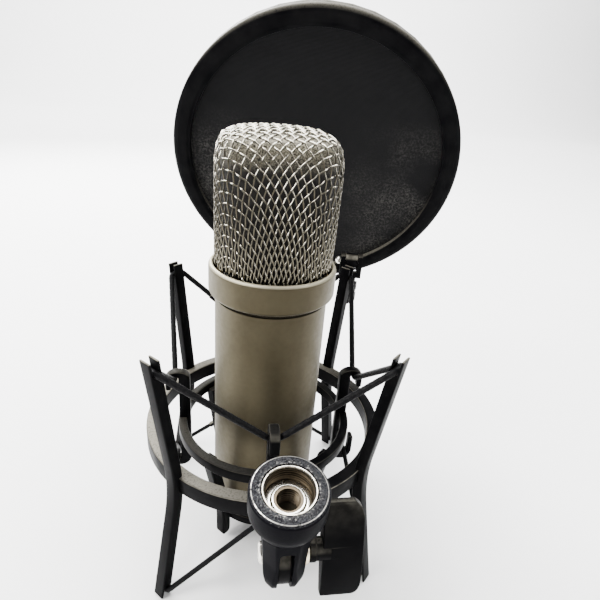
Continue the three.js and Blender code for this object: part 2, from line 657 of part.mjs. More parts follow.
function makeShieldArm() {
  const eyeAt = (y, z, radius, halfWidth, segments = 16) =>
    alongX(cylinder(radius, -halfWidth, halfWidth, segments)).translate([hingeX, y, z]);
  const dirY = rimY - armY;
  const dirZ = rimZ - armZ;
  const length = Math.hypot(dirY, dirZ);
  const beside = (y, z, reach) => [y - (dirZ / length) * reach, z + (dirY / length) * reach];
  const beam = outline([
    beside(armY, armZ, 3.4), beside(rimY, rimZ, 2.6), beside(rimY, rimZ, -2.6), beside(armY, armZ, -3.4),
  ]);
  const narrow = sidePlate(beam, hingeX - 1.5, hingeX + 1.5);
  const arm = join(narrow, eyeAt(armY, armZ, 4.2, ARM_HALF), eyeAt(rimY, rimZ, 3, 1.5));
  const bores = [eyeAt(armY, armZ, ARM_SCREW_R + GAP, 10), eyeAt(rimY, rimZ, RIM_PIN_R + GAP, 10)];
  add('shield_arm', cut(arm, ...bores), BLACK_PLASTIC, shieldFrame);
  add('rim_pin', eyeAt(rimY, rimZ, RIM_PIN_R, EAR.outside + 0.6, 12), SILVER, shieldFrame);

  // The thumb screw clamps the arm between the bracket's lugs; its domed head is outside.
  const headX = -(ARM_HALF + LUG + 2 * GAP);
  const dome = turned([[0, 0], [3, 0], [3, 1], [2.3, 2.3], [0, 2.8]], 16);
  const screw = join(cylinder(ARM_SCREW_R, -0.6 - ARM_HALF * 2 - LUG * 2, 0.4, 12), dome);
  const laid = screw.rotate([0, -90, 0]).translate([hingeX + headX, armY, armZ]);
  add('arm_screw', laid, SILVER, shieldFrame);
}

function makeBracket() {
  // World placement of the turned frame and of the post that the bracket sits on.
  const toWorld = new THREE.Matrix4().makeRotationZ(SHIELD_YAW).setPosition(SHIELD_CENTRE);
  const place = (manifold, matrix) => manifold.transform(matrix.toArray());
  const toPost = new THREE.Matrix4().makeRotationZ(POST_AZIMUTH);

  const lugShape = outline([
    [armY - 4, armZ - 9], [armY + 3.6, armZ - 9], [armY + 4.4, armZ - 2], [armY + 3.6, armZ + 3],
    [armY, armZ + 4.4], [armY - 3.4, armZ + 3.2], [armY - 4.2, armZ - 1],
  ]);
  const lugs = [[-ARM_HALF - GAP - LUG, -ARM_HALF - GAP], [ARM_HALF + GAP, ARM_HALF + GAP + LUG]]
    .map(([x0, x1]) => sidePlate(lugShape, hingeX + x0, hingeX + x1));
  const sillX = [hingeX - ARM_HALF - LUG, hingeX + ARM_HALF + LUG];
  const sill = box(sillX, [armY - 4, armY - 1.2], [armZ - 9, armZ - 5.6]);
  const stem = box([hingeX - 3.2, hingeX + 3.2], [armY - 4, armY + 0.8], [armZ - 20, armZ - 8.6]);
  const bore = alongX(cylinder(ARM_SCREW_R + GAP, -12, 12, 12)).translate([hingeX, armY, armZ]);
  const fork = place(cut(join(stem, sill, ...lugs), bore), toWorld);

  const outerFace = postR(BRACKET_SCREW_Z) + POST.width / 2;
  const blockBox = box([outerFace - 3, outerFace + 7.5], [-POST.thick / 2, POST.thick / 2], BRACKET_Z);
  const block = place(blockBox, toPost);
  const postRoom = place(plate(postShape(GAP), POST.thick + 8), toPost);
  const drill = (radius, from, segments) =>
    place(alongX(cylinder(radius, from, 90, segments)).translate([0, 0, BRACKET_SCREW_Z]), toPost);
  const holes = [drill(1.5, 50, 12), drill(2.9, outerFace + 5.2, 14)];
  add('shield_bracket', cut(join(block, fork), postRoom, ...holes), BLACK_PLASTIC);

  const shank = alongX(cylinder(1.2, postR(BRACKET_SCREW_Z) - 0.6, outerFace + 6, 12));
  const head = alongX(cylinder(2.6, outerFace + 5.5, outerFace + 7.4, 12));
  const screw = add('bracket_screw', join(shank, head).translate([0, 0, BRACKET_SCREW_Z]), SILVER);
  screw.rotation.z = POST_AZIMUTH;
}

// ---------------------------------------------------------------- assembly

makeBody();
makeGrille();
makeCapsule();
makeConnector();
makeFrame();
makeCradle();
makeElastic('upper', UPPER_CORD);
makeElastic('lower', LOWER_CORD);
makeAdapter();
makeKnob();
makeShield();
makeShieldArm();
makeBracket();

// Origin: the middle of the footprint, on the surface that the posts stand on.
assembly.updateMatrixWorld(true);
const extent = new THREE.Box3().setFromObject(assembly, true);
const centre = extent.getCenter(new THREE.Vector3());
assembly.position.set(-centre.x, -centre.y, -extent.min.z);

export default assembly;
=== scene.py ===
"""A side-address condenser microphone in its elastic shock mount, with a stand adapter
and a pop shield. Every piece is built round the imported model, in its frame.

Lengths are millimetres measured from the microphone's axis at floor level, until
piece() turns them into the frame's metres.
"""

import json
import math

import bpy
import numpy as np
from mathutils import Matrix, Vector


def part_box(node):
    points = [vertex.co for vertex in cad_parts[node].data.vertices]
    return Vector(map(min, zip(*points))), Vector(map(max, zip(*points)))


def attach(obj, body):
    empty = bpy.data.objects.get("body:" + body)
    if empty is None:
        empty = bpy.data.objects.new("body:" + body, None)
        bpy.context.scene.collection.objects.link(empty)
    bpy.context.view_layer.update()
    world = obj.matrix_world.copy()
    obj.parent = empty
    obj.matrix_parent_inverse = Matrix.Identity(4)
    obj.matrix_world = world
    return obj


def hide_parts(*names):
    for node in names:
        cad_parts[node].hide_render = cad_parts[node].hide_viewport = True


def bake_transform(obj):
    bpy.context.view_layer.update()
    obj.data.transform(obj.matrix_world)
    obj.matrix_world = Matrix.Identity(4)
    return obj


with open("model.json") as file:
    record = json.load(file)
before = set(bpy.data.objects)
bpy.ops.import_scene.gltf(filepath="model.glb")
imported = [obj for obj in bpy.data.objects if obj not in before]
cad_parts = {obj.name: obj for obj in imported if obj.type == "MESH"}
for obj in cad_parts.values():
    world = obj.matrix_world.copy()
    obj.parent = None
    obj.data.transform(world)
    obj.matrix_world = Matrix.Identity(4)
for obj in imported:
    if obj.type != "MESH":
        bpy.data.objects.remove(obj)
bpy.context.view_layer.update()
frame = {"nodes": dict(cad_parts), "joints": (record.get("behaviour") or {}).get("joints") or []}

MM = 0.001
TURN = 2 * math.pi

# ---------------------------------------------------------------- what the frame says

body_low, body_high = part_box("body_tube")
AXIS = np.array([(body_low.x + body_high.x) / 2, (body_low.y + body_high.y) / 2, 0.0])
JOINTS = {joint["name"]: joint for joint in frame["joints"]}


def spin(angle, axis="Z"):
    """A 3 by 3 turn about a main axis."""
    return np.array(Matrix.Rotation(angle, 3, axis))


def points_of(node, azimuth=0.0):
    """A CAD node's vertices, turned back by an azimuth about the microphone's axis."""
    mesh = frame["nodes"][node].data
    flat = np.empty(len(mesh.vertices) * 3)
    mesh.vertices.foreach_get("co", flat)
    return (flat.reshape(-1, 3) - AXIS) / MM @ spin(azimuth)


def pivot(joint):
    return (np.array(JOINTS[joint]["pos_m"]) - AXIS) / MM


def extent(points, axis=2):
    """The lowest and highest value of the points along X, Y or Z."""
    return points[:, axis].min(), points[:, axis].max()


def reach_of(points):
    """Each point's distance from the Z axis."""
    return np.hypot(points[:, 0], points[:, 1])


def turned_size(node, keep=None):
    """Inner radius, outer radius, lowest and highest Z of a node that is turned about the axis."""
    points = points_of(node)
    if keep is not None:
        points = points[keep(points)]
    radii = reach_of(points)
    return radii.min(), radii.max(), *extent(points)


# ---------------------------------------------------------------- mesh making


def unit(rows):
    """Each row of a table as a vector of length 1."""
    return rows / np.maximum(np.linalg.norm(rows, axis=1), 1e-9)[:, None]


def travelled(path):
    """The distance to each point along a polyline."""
    return np.concatenate([[0], np.cumsum(np.linalg.norm(np.diff(path, axis=0), axis=1))])


def rounded(corners, radius, steps=4, closed=True):
    """A polyline with its corners turned into short curves. radius is one value or one for each corner."""
    corners = np.asarray(corners, float)
    count = len(corners)
    radii = np.broadcast_to(radius, (count,))
    line = []
    for i, corner in enumerate(corners):
        if radii[i] == 0 or (not closed and i in (0, count - 1)):
            line.append(corner)
            continue
        before = corners[i - 1] - corner
        after = corners[(i + 1) % count] - corner
        reach = min(radii[i], 0.49 * np.linalg.norm(before), 0.49 * np.linalg.norm(after))
        start = corner + before / np.linalg.norm(before) * reach
        end = corner + after / np.linalg.norm(after) * reach
        for t in np.linspace(0, 1, steps + 1):
            line.append((1 - t) ** 2 * start + 2 * t * (1 - t) * corner + t**2 * end)
    return np.array(line)


def arc(centre, radius, start, end, steps):
    """Points of an arc in a plane; the angles are in degrees."""
    angles = np.radians(np.linspace(start, end, steps + 1))
    return np.column_stack([centre[0] + radius * np.cos(angles), centre[1] + radius * np.sin(angles)])


def circle(radius, sides, height):
    """A ring of points round the Z axis."""
    angles = np.arange(sides) * TURN / sides
    return np.column_stack([radius * np.cos(angles), radius * np.sin(angles), np.full(sides, float(height))])


def skin(rings, along=False):
    """Quads between closed rings of points. along joins the last ring to the first."""
    rings = np.asarray(rings, float)
    levels, count = rings.shape[:2]
    faces = []
    for i in range(levels if along else levels - 1):
        low, high = i * count, (i + 1) % levels * count
        for j in range(count):
            k = (j + 1) % count
            faces.append((low + j, low + k, high + k, high + j))
    return rings.reshape(-1, 3), faces


def capped(rings):
    """A closed solid: the skin between rings, with a flat face over the first and the last."""
    points, faces = skin(rings)
    count = len(rings[0])
    last = (len(rings) - 1) * count
    faces.append(tuple(range(count))[::-1])
    faces.append(tuple(range(last, last + count)))
    return points, faces


def lathe(profile, segments, wave=None):
    """Turns a closed profile of (radius, height) about Z. wave(angle, radius, height) adds to the radius."""
    rings = []
    for angle in np.arange(segments) * TURN / segments:
        reach = [r + (wave(angle, r, z) if wave else 0) for r, z in profile]
        rings.append([(r * math.cos(angle), r * math.sin(angle), z) for r, (_, z) in zip(reach, profile)])
    return skin(rings, along=True)


def band(inner, outer, low, high, radius):
    """The profile of a flat ring with rounded edges."""
    return rounded([(inner, low), (outer, low), (outer, high), (inner, high)], radius)


def thread(angle, height, pitch):
    """The section of a screw thread, as a wave from 0 to 1 that climbs by one pitch in each turn."""
    return abs(((height / pitch - angle / TURN) % 1) * 2 - 1)


def plate(outline, thickness, edge):
    """An outline in (x, z) made thick along Y, with rounded edges. edge is one value, or one for each
    point."""
    outline = np.asarray(outline, float)
    edge = np.broadcast_to(edge, (len(outline),))
    ahead = unit(np.roll(outline, -1, 0) - outline)
    tangent = unit(ahead + np.roll(ahead, 1, 0))
    after = np.roll(outline, -1, 0)
    area = np.sum(outline[:, 0] * after[:, 1] - after[:, 0] * outline[:, 1])
    inward = np.column_stack([-tangent[:, 1], tangent[:, 0]]) * math.copysign(1, area)
    quarter = np.radians(np.linspace(0, 90, 4))
    levels = []
    for side, turns in ((-1, quarter[::-1]), (1, quarter)):
        for turn in turns:
            line = outline + inward * (edge * (1 - math.cos(turn)))[:, None]
            height = side * (thickness / 2 - edge.max() * (1 - math.sin(turn)))
            levels.append(np.column_stack([line[:, 0], np.full(len(line), height), line[:, 1]]))
    return capped(levels)


def frames_along(path):
    """Two unit vectors across each point of a path, carried along it without twist."""
    tangents = unit(np.gradient(path, axis=0))
    across = np.cross(tangents[0], (0, 0, 1) if abs(tangents[0][2]) < 0.9 else (1, 0, 0))
    sides = []
    for tangent in tangents:
        across = across - tangent * (across @ tangent)
        across /= np.linalg.norm(across)
        sides.append(across)
    sides = np.array(sides)
    return sides, np.cross(tangents, sides)


def tube(path, radius, segments, wave=None):
    """A closed tube round a path. wave(distance, angle) multiplies the radius."""
    path = np.asarray(path, float)
    first, second = frames_along(path)
    angles = np.arange(segments) * TURN / segments
    reach = np.full((len(path), segments), radius, float)
    if wave:
        reach *= wave(travelled(path)[:, None], angles[None, :])
    spokes = first[:, None] * np.cos(angles)[:, None] + second[:, None] * np.sin(angles)[:, None]
    return capped(path[:, None] + reach[..., None] * spokes)


def resampled(path, step):
    """Points at equal distances along a polyline."""
    path = np.asarray(path, float)
    travel = travelled(path)
    wanted = np.linspace(0, travel[-1], max(2, round(travel[-1] / step) + 1))
    return np.column_stack([np.interp(wanted, travel, path[:, k]) for k in range(3)])


def moved(shell, turn=None, by=(0, 0, 0)):
    points, faces = shell
    points = np.asarray(points, float)
    if turn is not None:
        points = points @ np.asarray(turn).T
    return points + np.asarray(by, float), faces


def joined(shells):
    points, faces, offset = [], [], 0
    for shell_points, shell_faces in shells:
        points.append(shell_points)
        faces.extend(tuple(i + offset for i in face) for face in shell_faces)
        offset += len(shell_points)
    return np.concatenate(points), faces


# ---------------------------------------------------------------- pieces


def linked(name, data):
    """A new object in the scene."""
    item = bpy.data.objects.new(name, data)
    bpy.context.scene.collection.objects.link(item)
    return item


def mesh_object(name, shell):
    points, faces = shell
    mesh = bpy.data.meshes.new(name)
    mesh.from_pydata((points * MM + AXIS).tolist(), [], faces)
    mesh.update()
    item = linked(name, mesh)
    faces_out(item)
    return item


def faces_out(item):
    """Turns a closed mesh the right way out, by the sign of its volume."""
    mesh = item.data
    mesh.calc_loop_triangles()
    corners = np.array([v.co for v in mesh.vertices])
    if not len(mesh.loop_triangles):
        return
    triangles = np.array([t.vertices for t in mesh.loop_triangles])
    a, b, c = corners[triangles[:, 0]], corners[triangles[:, 1]], corners[triangles[:, 2]]
    middle = corners.mean(0)
    if np.einsum("ij,ij->i", a - middle, np.cross(b - middle, c - middle)).sum() < 0:
        mesh.flip_normals()


def settle(item):
    """Applies an object's modifiers to its mesh."""
    graph = bpy.context.evaluated_depsgraph_get()
    mesh = bpy.data.meshes.new_from_object(item.evaluated_get(graph))
    item.modifiers.clear()
    item.data = mesh


def combine(item, shells, operation):
    """Adds shells to an object, or cuts them out of it, as solids."""
    for shell in shells:
        tool = mesh_object("tool", shell)
        change = item.modifiers.new("change", "BOOLEAN")
        change.operation = operation
        change.solver = "MANIFOLD"
        change.object = tool
        settle(item)
        bpy.data.objects.remove(tool)


def dressed(item, finish, body, stands_for=(), sharp=35):
    """Gives a piece its material and smooth shading, and lets it ride on its body."""
    item.data.materials.clear()
    item.data.materials.append(finish)
    item.data.polygons.foreach_set("use_smooth", [True] * len(item.data.polygons))
    item.data.polygons.foreach_set("material_index", [0] * len(item.data.polygons))
    item.data.set_sharp_from_angle(angle=math.radians(sharp))
    item.data.update()
    if stands_for:
        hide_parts(*stands_for)
    if body:
        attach(item, body)
    return item


def piece(name, shell, finish, body, stands_for=(), sharp=35):
    return dressed(mesh_object(name, shell), finish, body, stands_for, sharp)


def refined(name, node, width, finish, body):
    """A piece with the shape of a CAD node, its flat stretches joined up and its edges rounded."""
    item = linked(name, frame["nodes"][node].data.copy())
    weld = item.modifiers.new("weld", "WELD")
    weld.merge_threshold = 1e-6
    flat = item.modifiers.new("flat", "DECIMATE")
    flat.decimate_type = "DISSOLVE"
    flat.angle_limit = math.radians(1)
    edge = item.modifiers.new("edge", "BEVEL")
    edge.width = width * MM
    edge.segments = 3
    edge.limit_method = "ANGLE"
    edge.angle_limit = math.radians(35)
    settle(item)
    dressed(item, finish, body, [node])


# ---------------------------------------------------------------- finishes


class Value:
    """A number that shader nodes work out at each point of a surface. It adds and multiplies as any
    number does."""

    def __init__(self, finish, socket):
        self.finish = finish
        self.socket = socket

    def math(self, operation, *others):
        return self.finish.value("Math", self, *others, operation=operation)

    def __add__(self, other):
        return self.math("ADD", other)

    def __sub__(self, other):
        return self.math("SUBTRACT", other)

    def __mul__(self, other):
        return self.math("MULTIPLY", other)

    def most(self, other):
        return self.math("MAXIMUM", other)

    def wave(self, length):
        """A sine with a length in millimetres."""
        return (self * (TURN / (length * MM))).math("SINE")

    def ramp(self, low, high, at_low=0.0, at_high=1.0):
        """A clamped straight change from one range to another."""
        return self.finish.value("MapRange", self, low, high, at_low, at_high)

    def span(self, low, high, at_low=0.0, at_high=1.0):
        """The same for a length, between two lengths in millimetres."""
        return self.ramp(low * MM, high * MM, at_low, at_high)


class Finish:
    """A procedural material: a Principled shader and the nodes that feed it."""

    INPUTS = {"colour": "Base Color", "rough": "Roughness", "metal": "Metallic", "bump": "Normal",
              "sheen": "Sheen Weight", "gloss": "Specular IOR Level"}

    def __init__(self, name, **values):
        self.material = bpy.data.materials.new(name)
        self.material.use_nodes = True
        self.tree = self.material.node_tree
        self.shader = self.tree.nodes["Principled BSDF"]
        coordinates = self.add("TexCoord")
        self.place = coordinates.outputs["Object"]
        self.x, self.y, self.z = self.parts(self.place)
        _, self.facing_y, self.facing_z = self.parts(coordinates.outputs["Normal"])
        self.feed(**values)

    def plug(self, socket, value):
        if isinstance(value, Value):
            value = value.socket
        if isinstance(value, bpy.types.NodeSocket):
            self.tree.links.new(value, socket)
        else:
            socket.default_value = value

    def feed(self, **values):
        for key, value in values.items():
            self.plug(self.shader.inputs[self.INPUTS[key]], value)
        return self.material

    def add(self, kind, *values, **settings):
        node = self.tree.nodes.new("ShaderNode" + kind)
        for key, value in settings.items():
            setattr(node, key, value)
        for index, value in enumerate(values):
            self.plug(node.inputs[index], value)
        return node

    def value(self, kind, *values, output=0, **settings):
        return Value(self, self.add(kind, *values, **settings).outputs[output])

    def parts(self, vector):
        """The X, Y and Z of a vector."""
        outputs = self.add("SeparateXYZ", vector).outputs
        return Value(self, outputs[0]), Value(self, outputs[1]), Value(self, outputs[2])

    def noise(self, per_mm, detail=2.0, rough=0.5):
        node = self.add("TexNoise", self.place)
        node.inputs["Scale"].default_value = per_mm / MM
        node.inputs["Detail"].default_value = detail
        node.inputs["Roughness"].default_value = rough
        return Value(self, node.outputs[0])

    def offset(self, point):
        """The way from a point to the place on the surface."""
        return self.value("VectorMath", self.place, tuple(point), operation="SUBTRACT")

    def dot(self, first, second):
        return self.value("VectorMath", first, second, operation="DOT_PRODUCT", output="Value")

    def round_axis(self, point, axis):
        """Height along an axis through a point, and distance from it."""
        offset = self.offset(point)
        height = self.dot(offset, tuple(axis))
        return height, (self.dot(offset, offset) - height * height).math("SQRT")

    def tint(self, share, first, second):
        """A mix of two colours: the first where the share is 0, the second where it is 1."""
        node = self.add("Mix", data_type="RGBA")
        self.plug(node.inputs[0], share)
        for socket, colour in ((node.inputs[6], first), (node.inputs[7], second)):
            self.plug(socket, (*colour, 1) if isinstance(colour, tuple) else colour)
        return node.outputs[2]

    def relief(self, height, depth, strength):
        """A bump of a depth in millimetres."""
        node = self.add("Bump")
        self.plug(node.inputs["Height"], height)
        node.inputs["Distance"].default_value = depth * MM
        node.inputs["Strength"].default_value = strength
        return node.outputs[0]


def champagne_metal(seam, top):
    """Satin bead-blasted nickel of the microphone's body and collar, with a painted dark reflection on the
    faces turned to the front. The groove under the collar, round the seam, is painted in shade, and the lip
    at the collar's top gets a painted highlight where it faces up."""
    finish = Finish("champagne_metal", metal=0.9)
    cloud = finish.noise(0.03, 3).ramp(0.3, 0.7) * 0.25
    # Painted dark reflection: faces turned to the front (-Y) are painted darker than the sides.
    front = finish.facing_y.ramp(0.1, -0.9)
    satin = finish.tint(front - cloud, (0.113, 0.1, 0.065), (0.042, 0.034, 0.0185))
    # Painted highlight: the upward-facing lip at the collar's top is painted pale cream.
    lip = finish.facing_z.ramp(0.3, 0.8) * finish.z.span(top - 2, top - 1)
    wear_and_highlight = finish.tint(lip, satin, (0.5, 0.46, 0.34))
    # Painted shade: a near-black band round the seam, in the groove under the collar.
    groove = finish.z.span(seam - 1.65, seam - 1.5) * finish.z.span(seam + 0.6, seam + 0.3)
    return finish.feed(
        colour=finish.tint(groove, wear_and_highlight, (0.012, 0.01, 0.006)),
        rough=finish.noise(0.5, 4).ramp(0.3, 0.7, 0.5, 0.6),
        bump=finish.relief(finish.noise(5, 2), 0.02, 0.35))


def bright_wire(top):
    """Nickel-plated wire with random tarnished patches; the sides of the wires that face away from up get
    painted shade, lighter towards the collar.
    """
    finish = Finish("bright_wire", metal=1.0)
    patch = finish.noise(0.35, 4).ramp(0.42, 0.68)
    # Painted shade: wire sides facing away from up are darkened, on top of random tarnished patches.
    tarnish_and_shade = (patch * 0.5).most(finish.facing_z.ramp(0.65, 0.1))
    low = finish.z.span(top - 30, top - 70)
    # The painted shade's colour, lighter towards the collar.
    shadow = finish.tint(low, (0.062, 0.055, 0.04), (0.17, 0.153, 0.112))
    return finish.feed(
        colour=finish.tint(tarnish_and_shade, (0.78, 0.74, 0.62), shadow),
        rough=tarnish_and_shade.ramp(0, 1, 0.18, 0.3),
        bump=finish.relief(finish.noise(6, 2), 0.01, 0.3))


def fine_liner(top):
    """The fine mesh behind the wires: painted light near the crown, as pale speckled metal, fading into
    near-black painted shade below it.
    """
    finish = Finish("fine_liner", metal=0.55)
    mesh = 0.45
    threads = (finish.x + finish.z).wave(mesh) * (finish.x - finish.z).wave(mesh)
    speck = finish.noise(2.2, 2).ramp(0.4, 0.62)
    pale = finish.tint(speck, (0.025, 0.022, 0.015), (0.42, 0.385, 0.28))
    # Painted light and shade: pale near the crown, near-black painted shade further down.
    return finish.feed(
        colour=finish.tint(finish.z.span(top - 15, top - 4), (0.006, 0.005, 0.004), pale),
        rough=0.5,
        bump=finish.relief(threads, 0.08, 0.6))


def black_plastic(name, dust_and_highlight=0.0, shine=0.36, gloss=0.015, edge_highlight=0.4, dust_and_highlight_from=0.75, everywhere=False):
    """Moulded satin black plastic. Its bevels that face partly up get a broken painted highlight, and what
    faces up gets pale specks, part dust and part painted highlight:
    everywhere, or more towards the left, the back and the tips of the posts."""
    finish = Finish(name, gloss=gloss)
    facing = finish.facing_z
    # Painted highlight: bevels facing partly up are painted pale in broken streaks.
    edge = (facing.ramp(0.3, 0.55) * facing.ramp(0.97, 0.8)
            * finish.noise(0.25, 4).ramp(0.3, 0.6, 0.1, edge_highlight))
    left = finish.x.ramp(AXIS[0] + 0.012, AXIS[0] - 0.056)
    back = finish.y.ramp(AXIS[1] + 0.01, AXIS[1] + 0.05, 0, 0.55)
    tip = finish.z.ramp(0.121, 0.1225, 0, 0.6)
    behind_front = finish.y.ramp(AXIS[1] - (RING_OUTER + 2) * MM, AXIS[1] - RING_OUTER * MM)
    # The pale specks gather towards the left and the back, where the lamps stand, and on the post tips: part
    # dust, part painted highlight.
    where = 1.0 if everywhere else left.most(back).most(tip) * behind_front
    speck = finish.noise(1.1, 5, 0.7).ramp(0.25, 0.5)
    # Pale mask: dust and painted highlight on what faces up, together with the painted edge highlight.
    dust_and_highlight_mask = (facing.ramp(dust_and_highlight_from, 0.98) * where * (speck * dust_and_highlight)).most(edge)
    smear = finish.noise(0.12, 4).ramp(0.35, 0.7)
    plain = finish.tint(smear, (0.002, 0.002, 0.0024), (0.0045, 0.0045, 0.0048))
    return finish.feed(
        colour=finish.tint(dust_and_highlight_mask, plain, (0.4, 0.375, 0.31)),
        rough=smear.ramp(0, 1, shine - 0.06, shine + 0.08) + dust_and_highlight_mask * 0.4,
        bump=finish.relief(finish.noise(2.5, 3), 0.03, 0.4))


def worn_paint(mouth, axis, inner, outer):
    """Black paint of the stand adapter, chipped to bare metal round its mouth, with a bright rim and a
    brown floor in its bore. Heights are taken along the axis from the mouth."""
    finish = Finish("worn_paint", gloss=0.006)
    height, radius = finish.round_axis(mouth, axis)
    top = height.span(-0.9, -0.2)
    inside = radius.span(inner + 0.2, inner + 1.7, 1, 0)
    wear_and_highlight = (finish.noise(1.4, 5, 0.75) + inside * 0.1).ramp(0.62, 0.76)
    speck = finish.noise(2.6, 5, 0.8).ramp(0.6, 0.78)
    bare = top * wear_and_highlight.most(speck * 0.8)
    rim = radius.span(outer - 1.15, outer - 1.05) * height.span(-0.2, -0.1)
    edge = rim * finish.noise(0.9, 4).ramp(0.34, 0.54)
    metal = bare.most(edge)
    blotch = finish.noise(1.6, 5, 0.75).ramp(0.4, 0.7)
    paint = finish.tint(top * blotch, (0.0025, 0.0025, 0.0035), (0.05, 0.051, 0.055))
    chipped = finish.tint(edge, finish.tint(bare, paint, (0.34, 0.33, 0.31)), (0.78, 0.76, 0.7))
    floor = height.span(-12.5, -13) * radius.span(5.6, 5.2)
    return finish.feed(
        colour=finish.tint(floor, chipped, (0.07, 0.058, 0.04)),
        metal=metal,
        rough=metal.ramp(0, 1, 0.34, 0.28),
        bump=finish.relief(finish.noise(2, 4) - metal, 0.05, 0.6))


def plated_metal(name, colour, rough=0.24, dirt=0.5, hole=None):
    """Turned and plated metal with fine tool marks and some dirt. hole is a point on an axis, the axis,
    a radius and a height above the point: within the radius and below the height the metal gets painted
    shade, and painted dark rings of shade run round it at the thread roots."""
    finish = Finish(name, metal=1.0)
    soil_and_shade = finish.noise(0.6, 5, 0.65).ramp(0.48, 0.72) * dirt
    tarnish_and_shade = tuple(share * part for share, part in zip((0.15, 0.125, 0.095), colour))
    if hole:
        point, axis, radius, mouth = hole
        height, reach = finish.round_axis(point, axis)
        # Painted shade: inside the hole, below its mouth, the metal takes the darker colour.
        soil_and_shade = soil_and_shade.most(reach.span(radius + 0.25, radius) * height.span(mouth, mouth - 0.3))
        thread_pitch = 1.15
        # Painted shade in the thread roots: dark rings by height.
        root = tuple(0.22 * part for part in tarnish_and_shade)
        tarnish_and_shade = finish.tint(height.wave(thread_pitch).ramp(-0.3, 0.6), tarnish_and_shade, root)
    return finish.feed(
        colour=finish.tint(soil_and_shade, colour, tarnish_and_shade),
        rough=soil_and_shade.ramp(0, 1, rough, rough + 0.3),
        bump=finish.relief(finish.noise(4, 3), 0.015, 0.4))


def braided_cord():
    """Black polyester braid over elastic, with a little lint."""
    finish = Finish("braided_cord", sheen=0.01, gloss=0.07)
    fibre = finish.noise(3.5, 3)
    lint = finish.noise(1.3, 4, 0.7).ramp(0.52, 0.75)
    return finish.feed(
        colour=finish.tint(lint, (0.0025, 0.0025, 0.003), (0.014, 0.0133, 0.0126)),
        rough=fibre.ramp(0.3, 0.7, 0.42, 0.62),
        bump=finish.relief(fibre, 0.05, 0.5))


def pop_fabric(across, down, centre):
    """Black knitted nylon with some dust towards its lower edges. across and down lie in its plane."""
    finish = Finish("pop_fabric", sheen=0.03, gloss=0.08)
    offset = finish.offset(centre)
    u, v = finish.dot(offset, tuple(across)), finish.dot(offset, tuple(down))
    pitch, lean = 0.62, 0.58
    knit = (u + v * lean).wave(pitch) * (u + v * -lean).wave(pitch)
    corners = v.span(-28, 12) * u.math("ABSOLUTE").span(10, 50)
    patch = finish.noise(0.03, 4).ramp(0.35, 0.6)
    speck = finish.noise(0.9, 5, 0.8).ramp(0.45, 0.68) * patch
    cloth = finish.tint(knit.ramp(-0.2, 0.5), (0.0015, 0.0015, 0.0018), (0.008, 0.0082, 0.009))
    return finish.feed(
        colour=finish.tint(speck * corners * 0.4, cloth, (0.22, 0.21, 0.19)),
        rough=0.8,
        bump=finish.relief(knit, 0.12, 0.7))


def plain_finish(name, colour, rough, metal=0.0):
    """A finish for small inner pieces: one colour, broken up by soft noise and a fine grain."""
    finish = Finish(name, metal=metal)
    darker = tuple(0.7 * part for part in colour)
    return finish.feed(
        colour=finish.tint(finish.noise(0.3, 4).ramp(0.35, 0.65), darker, colour),
        rough=finish.noise(1, 3).ramp(0.3, 0.7, rough - 0.05, rough + 0.08),
        bump=finish.relief(finish.noise(2, 3), 0.02, 0.4))


# ---------------------------------------------------------------- camera, lights and floor


CAMERA_PLACE = np.array([-19.65, -190.26, 216.66])
CAMERA_ANGLES = (9.758, 25.355, 4.834)       # yaw to the right, pitch down and roll, in degrees
CAMERA_LENS, CAMERA_SENSOR = 28.6, 36


def make_camera():
    """The photograph's viewpoint: close to the adapter, above it and a little to the left."""
    place = AXIS + CAMERA_PLACE * MM
    yaw, pitch, roll = np.radians(CAMERA_ANGLES)
    ahead = np.array([math.sin(yaw) * math.cos(pitch), math.cos(yaw) * math.cos(pitch), -math.sin(pitch)])
    level = np.array([math.cos(yaw), -math.sin(yaw), 0])
    above = np.cross(level, ahead)
    right = math.cos(roll) * level + math.sin(roll) * above
    up = -math.sin(roll) * level + math.cos(roll) * above
    data = bpy.data.cameras.new("camera")
    data.lens = CAMERA_LENS
    data.sensor_width = CAMERA_SENSOR
    data.clip_start = 0.01
    camera = linked("camera", data)
    camera.matrix_world = Matrix.Translation(place) @ Matrix(np.column_stack([right, up, -ahead])).to_4x4()
    bpy.context.scene.camera = camera


def softbox(name, place, target, width, height, power, colour=(1, 1, 1)):
    data = bpy.data.lights.new(name, "AREA")
    data.shape = "RECTANGLE"
    data.size, data.size_y = width, height
    data.energy = power
    data.color = colour
    light = linked(name, data)
    light.location = place
    light.rotation_euler = (Vector(target) - Vector(place)).to_track_quat("-Z", "Y").to_euler()


def make_studio():
    """Soft lights round the object and one on the wall, in metres and watts, a pale world and the floor."""
    middle = (AXIS[0], AXIS[1], 0.1)
    softbox("key", (-0.85, -0.2, 0.95), middle, 0.6, 0.7, 30, (1, 0.985, 0.96))
    softbox("fill", (0.9, -0.4, 0.7), middle, 0.4, 0.9, 8)
    softbox("back_left", (-0.4, 0.9, 0.7), middle, 0.9, 0.5, 34)
    softbox("top", (0.1, 0.55, 1.4), middle, 1.3, 0.8, 62)
    softbox("wall_wash", (0, 1.6, 2.0), (0, 3, 0.3), 3.0, 0.5, 270)
    world = bpy.data.worlds.new("studio")
    world.use_nodes = True
    world.node_tree.nodes["Background"].inputs[0].default_value = (1, 1, 1, 1)
    world.node_tree.nodes["Background"].inputs[1].default_value = 0.5
    bpy.context.scene.world = world
    make_floor()


